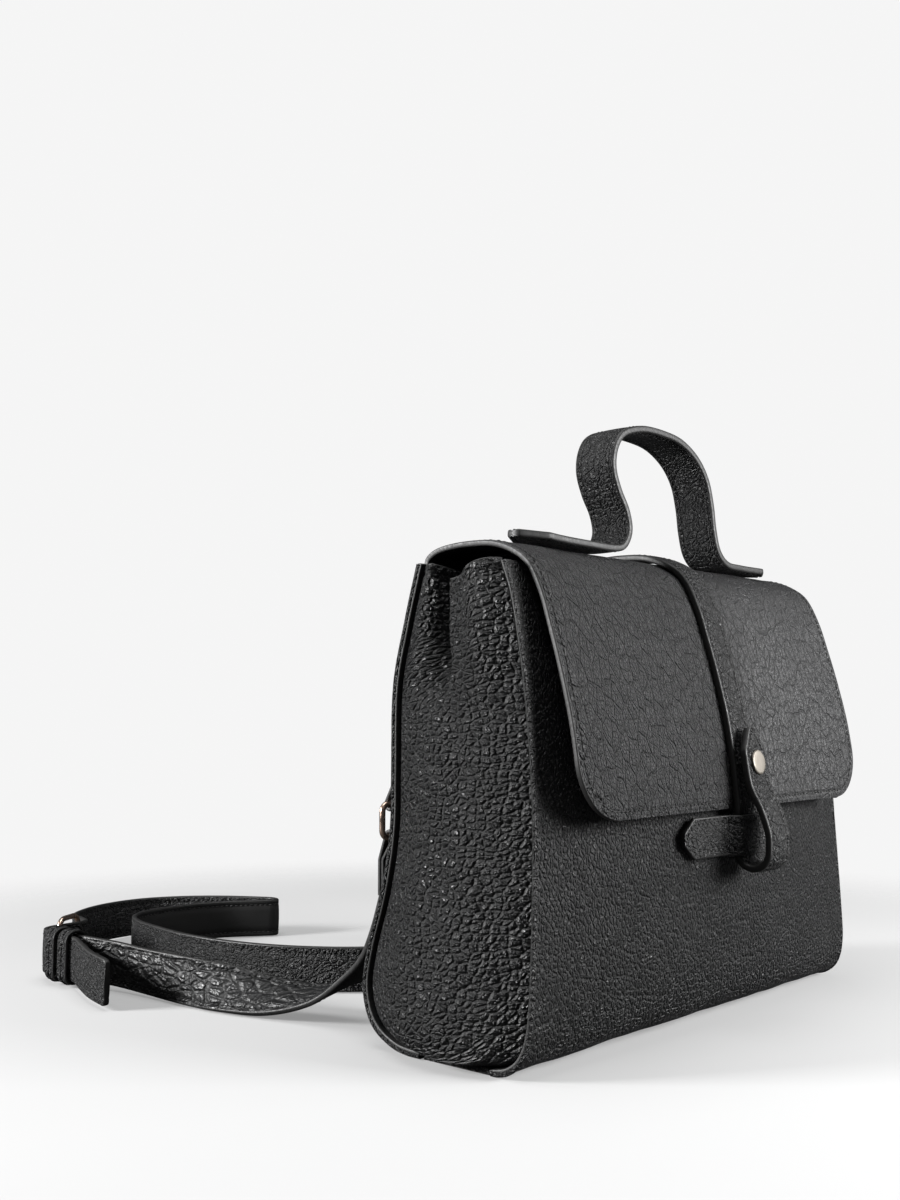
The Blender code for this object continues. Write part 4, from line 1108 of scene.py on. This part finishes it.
def make_keeper():
    """The pointed strip on the front panel, raised over the closure strap and box-stitched."""
    thickness = 0.0024
    crown = -0.0674 - STRAP / 2 - GAP - thickness / 2
    half_line = ((0.0505, 0.0), (0.0420, 0.0), (0.0300, 0.0), (0.0190, 0.0), (0.0145, 0.25),
                 (0.0118, 0.80), (0.0095, 1.0), (0.0, 1.0))
    ends = [(-x, lift) for x, lift in half_line] + [(x, lift) for x, lift in half_line[-2::-1]]
    points = []
    for x, lift in ends:
        wall = wall_y(x, KEEPER_Z) - GAP - thickness / 2 - 0.0007
        points.append((x, wall + (crown - wall) * lift, KEEPER_Z))
    centres = even_points(smooth_curve(points, 14), 0.0010)
    sides = np.tile(UP, (len(centres), 1))
    halves = np.interp(np.abs(centres[:, 0]), (0.0, 0.0430, 0.0505), (0.0100, 0.0100, 0.0035))
    skin = Skin()
    strap(skin, centres, sides, halves, thickness, (0, 1, 2))
    strap_stitches(skin, centres, sides, halves, thickness, span=(2, -2))
    face = -thickness / 2 + 0.0001
    for side in (-1, 1):
        for path in (((0.0310, -0.0068), (0.0310, 0.0068)), ((0.0310, -0.0068), (0.0440, 0.0068)),
                     ((0.0310, 0.0068), (0.0440, -0.0068)), ((0.0440, -0.0068), (0.0440, 0.0068))):
            flat = even_points(np.array(path), 0.0015)
            y = np.interp(side * flat[:, 0], centres[:, 0], centres[:, 1])
            row = np.column_stack([side * flat[:, 0], y + face, KEEPER_Z + flat[:, 1]])
            stitch_row(skin, row, (0.0, -1.0, 0.0))
    piece = skin.make("keeper_strip", STRAP_LOOKS)
    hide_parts("front_keeper")
    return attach(piece, "bag")


def make_handle():
    """The handle: one stitched strap whose two ends lie sewn on the flap."""
    line = even_points(smooth_curve(HANDLE_ROUTE), 0.0016)
    centres = np.column_stack([line[:, 0], np.full(len(line), HANDLE_Y), line[:, 1]])
    sides = np.tile((0.0, 1.0, 0.0), (len(centres), 1))
    travel = travel_along(centres)
    to_end = np.minimum(travel, travel[-1] - travel)
    halves = np.interp(to_end, (0.0, 0.014), (0.0038, HANDLE_WIDTH / 2))

    def relief(at, across):
        bend = math.exp(-((at - 0.088) / 0.020) ** 2) + 0.8 * math.exp(-((at - 0.118) / 0.018) ** 2)
        return 0.00022 * bend * np.sin(at * 2 * math.pi / 0.0042 + across * 90.0)

    skin = Skin()
    strap(skin, centres, sides, halves, HANDLE_THICKNESS, (0, 1, 0), relief=relief)
    strap_stitches(skin, centres, sides, halves, HANDLE_THICKNESS, both=True, span=(2, -2))
    for x in HANDLE_ROWS:
        near = line[np.abs(line[:, 0] - x).argsort()[:2]]
        z = np.interp(x, near[:, 0], near[:, 1]) + HANDLE_THICKNESS / 2
        stitch_row(skin, [(x, y, z + 0.0001) for y in np.linspace(HANDLE_Y - 0.0080, HANDLE_Y + 0.0080, 9)],
                   UP)
    piece = skin.make("top_handle", STRAP_LOOKS)
    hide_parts("handle")
    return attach(piece, "flap_upper")


# ---------------------------------------------------------------- the parts left as they are

def dress_solids():
    """Materials for the solids that keep their own shape: inside, underneath and snap parts."""
    leather_plain = leather("base_grain", BLACK, 0.0030, 0.0006, places="Object")
    board = suede("board", (0.16, 0.13, 0.10), places="Object", scale=900.0)
    looks = {"base_panel": leather_plain, "handle_backing_left": leather_plain,
             "handle_backing_right": leather_plain, "base_board": board, "front_lining": CLOTH,
             "back_lining": CLOTH, "snap_stud": NICKEL, "snap_socket": NICKEL, "snap_back_plate": NICKEL}
    for name, look in looks.items():
        for slot in bpy.data.objects[name].material_slots:
            slot.material = look


# ---------------------------------------------------------------- floor and light

def make_floor():
    """A pale floor that fades into the background, with a soft shadow under the bag."""
    mesh = bpy.data.meshes.new("floor")
    bm = bmesh.new()
    bmesh.ops.create_circle(bm, cap_ends=True, segments=96, radius=3.0)
    bm.to_mesh(mesh)
    bm.free()
    floor = bpy.data.objects.new("floor", mesh)
    bpy.context.scene.collection.objects.link(floor)
    made, tree, shader = new_material("floor")
    place = add(tree, "ShaderNodeTexCoord").outputs["Object"]
    away = add(tree, "ShaderNodeVectorMath", {0: place}, operation="LENGTH").outputs["Value"]
    fade = span(tree, away, 0.34, 0.66, 0.0, 1.0)
    seen = add(tree, "ShaderNodeLightPath").outputs["Is Camera Ray"]
    tree.links.new(blend_colour(tree, seen, (0.05, 0.05, 0.05), (0.34, 0.34, 0.34)),
                   shader.inputs["Base Color"])
    shader.inputs["Roughness"].default_value = 0.9
    shader.inputs["Specular IOR Level"].default_value = 0.1
    shader.inputs["Emission Color"].default_value = (1.0, 1.0, 1.0, 1.0)
    tree.links.new(calc(tree, "MULTIPLY", seen, 0.27), shader.inputs["Emission Strength"])
    clear = add(tree, "ShaderNodeBsdfTransparent")
    mixed = add(tree, "ShaderNodeMixShader", {0: fade, 1: shader.outputs[0], 2: clear.outputs[0]})
    tree.links.new(mixed.outputs[0], tree.nodes["Material Output"].inputs[0])
    mesh.materials.append(made)
    floor.location = (0.0, 0.12, -0.0002)


def make_world():
    """White behind everything for the camera, and much dimmer as light."""
    world = bpy.data.worlds.new("studio")
    bpy.context.scene.world = world
    world.use_nodes = True
    tree = world.node_tree
    backdrop = tree.nodes["Background"]
    backdrop.inputs["Color"].default_value = (0.915, 0.915, 0.915, 1.0)
    seen = add(tree, "ShaderNodeLightPath").outputs["Is Camera Ray"]
    fill = add(tree, "ShaderNodeBackground", {"Color": (0.9, 0.95, 1.0, 1.0), "Strength": 0.05})
    mixed = add(tree, "ShaderNodeMixShader", {0: seen, 1: fill.outputs[0], 2: backdrop.outputs[0]})
    tree.links.new(mixed.outputs[0], tree.nodes["World Output"].inputs[0])


def area_light(name, place, aim, size, energy):
    data = bpy.data.lights.new(name, "AREA")
    data.shape = "RECTANGLE"
    data.size, data.size_y = size
    data.energy = energy
    light = bpy.data.objects.new(name, data)
    bpy.context.scene.collection.objects.link(light)
    light.location = place
    light.rotation_mode = "QUATERNION"
    light.rotation_quaternion = (Vector(aim) - Vector(place)).to_track_quat("-Z", "Y")


def make_lights():
    area_light("left_back", (-1.10, 0.80, 0.50), (-0.12, 0.0, 0.12), (0.35, 0.35), 34.0)
    area_light("front", (0.30, -0.80, 0.36), (-0.08, 0.0, 0.15), (0.40, 0.40), 17.0)
    area_light("front_right", (0.80, -0.80, 0.50), (-0.05, 0.0, 0.15), (0.50, 0.50), 4.0)
    area_light("top", (-0.20, 0.05, 1.40), (0.0, 0.0, 0.15), (0.9, 0.9), 12.0)
    area_light("front_left", (-1.10, -0.95, 0.95), (-0.10, 0.0, 0.12), (0.4, 0.4), 0.6)


make_camera()
make_shoulder_strap()
make_ring_sides()
body_wall("wall_front", FRONT_PROFILE, True, False, "front_panel", FRONT_GRAIN, 31)
body_wall("wall_back", BACK_PROFILE, False, True, "back_panel", FRONT_GRAIN, 41)
make_piping("piping_front", FRONT_PROFILE, -0.0006)
make_piping("piping_back", BACK_PROFILE, 0.0006)
make_gusset(-1, "left")
make_gusset(1, "right")
make_flap()
make_closure()
make_keeper()
make_handle()
dress_solids()
make_floor()
make_world()
make_lights()
bpy.context.scene.view_settings.view_transform = "Standard"
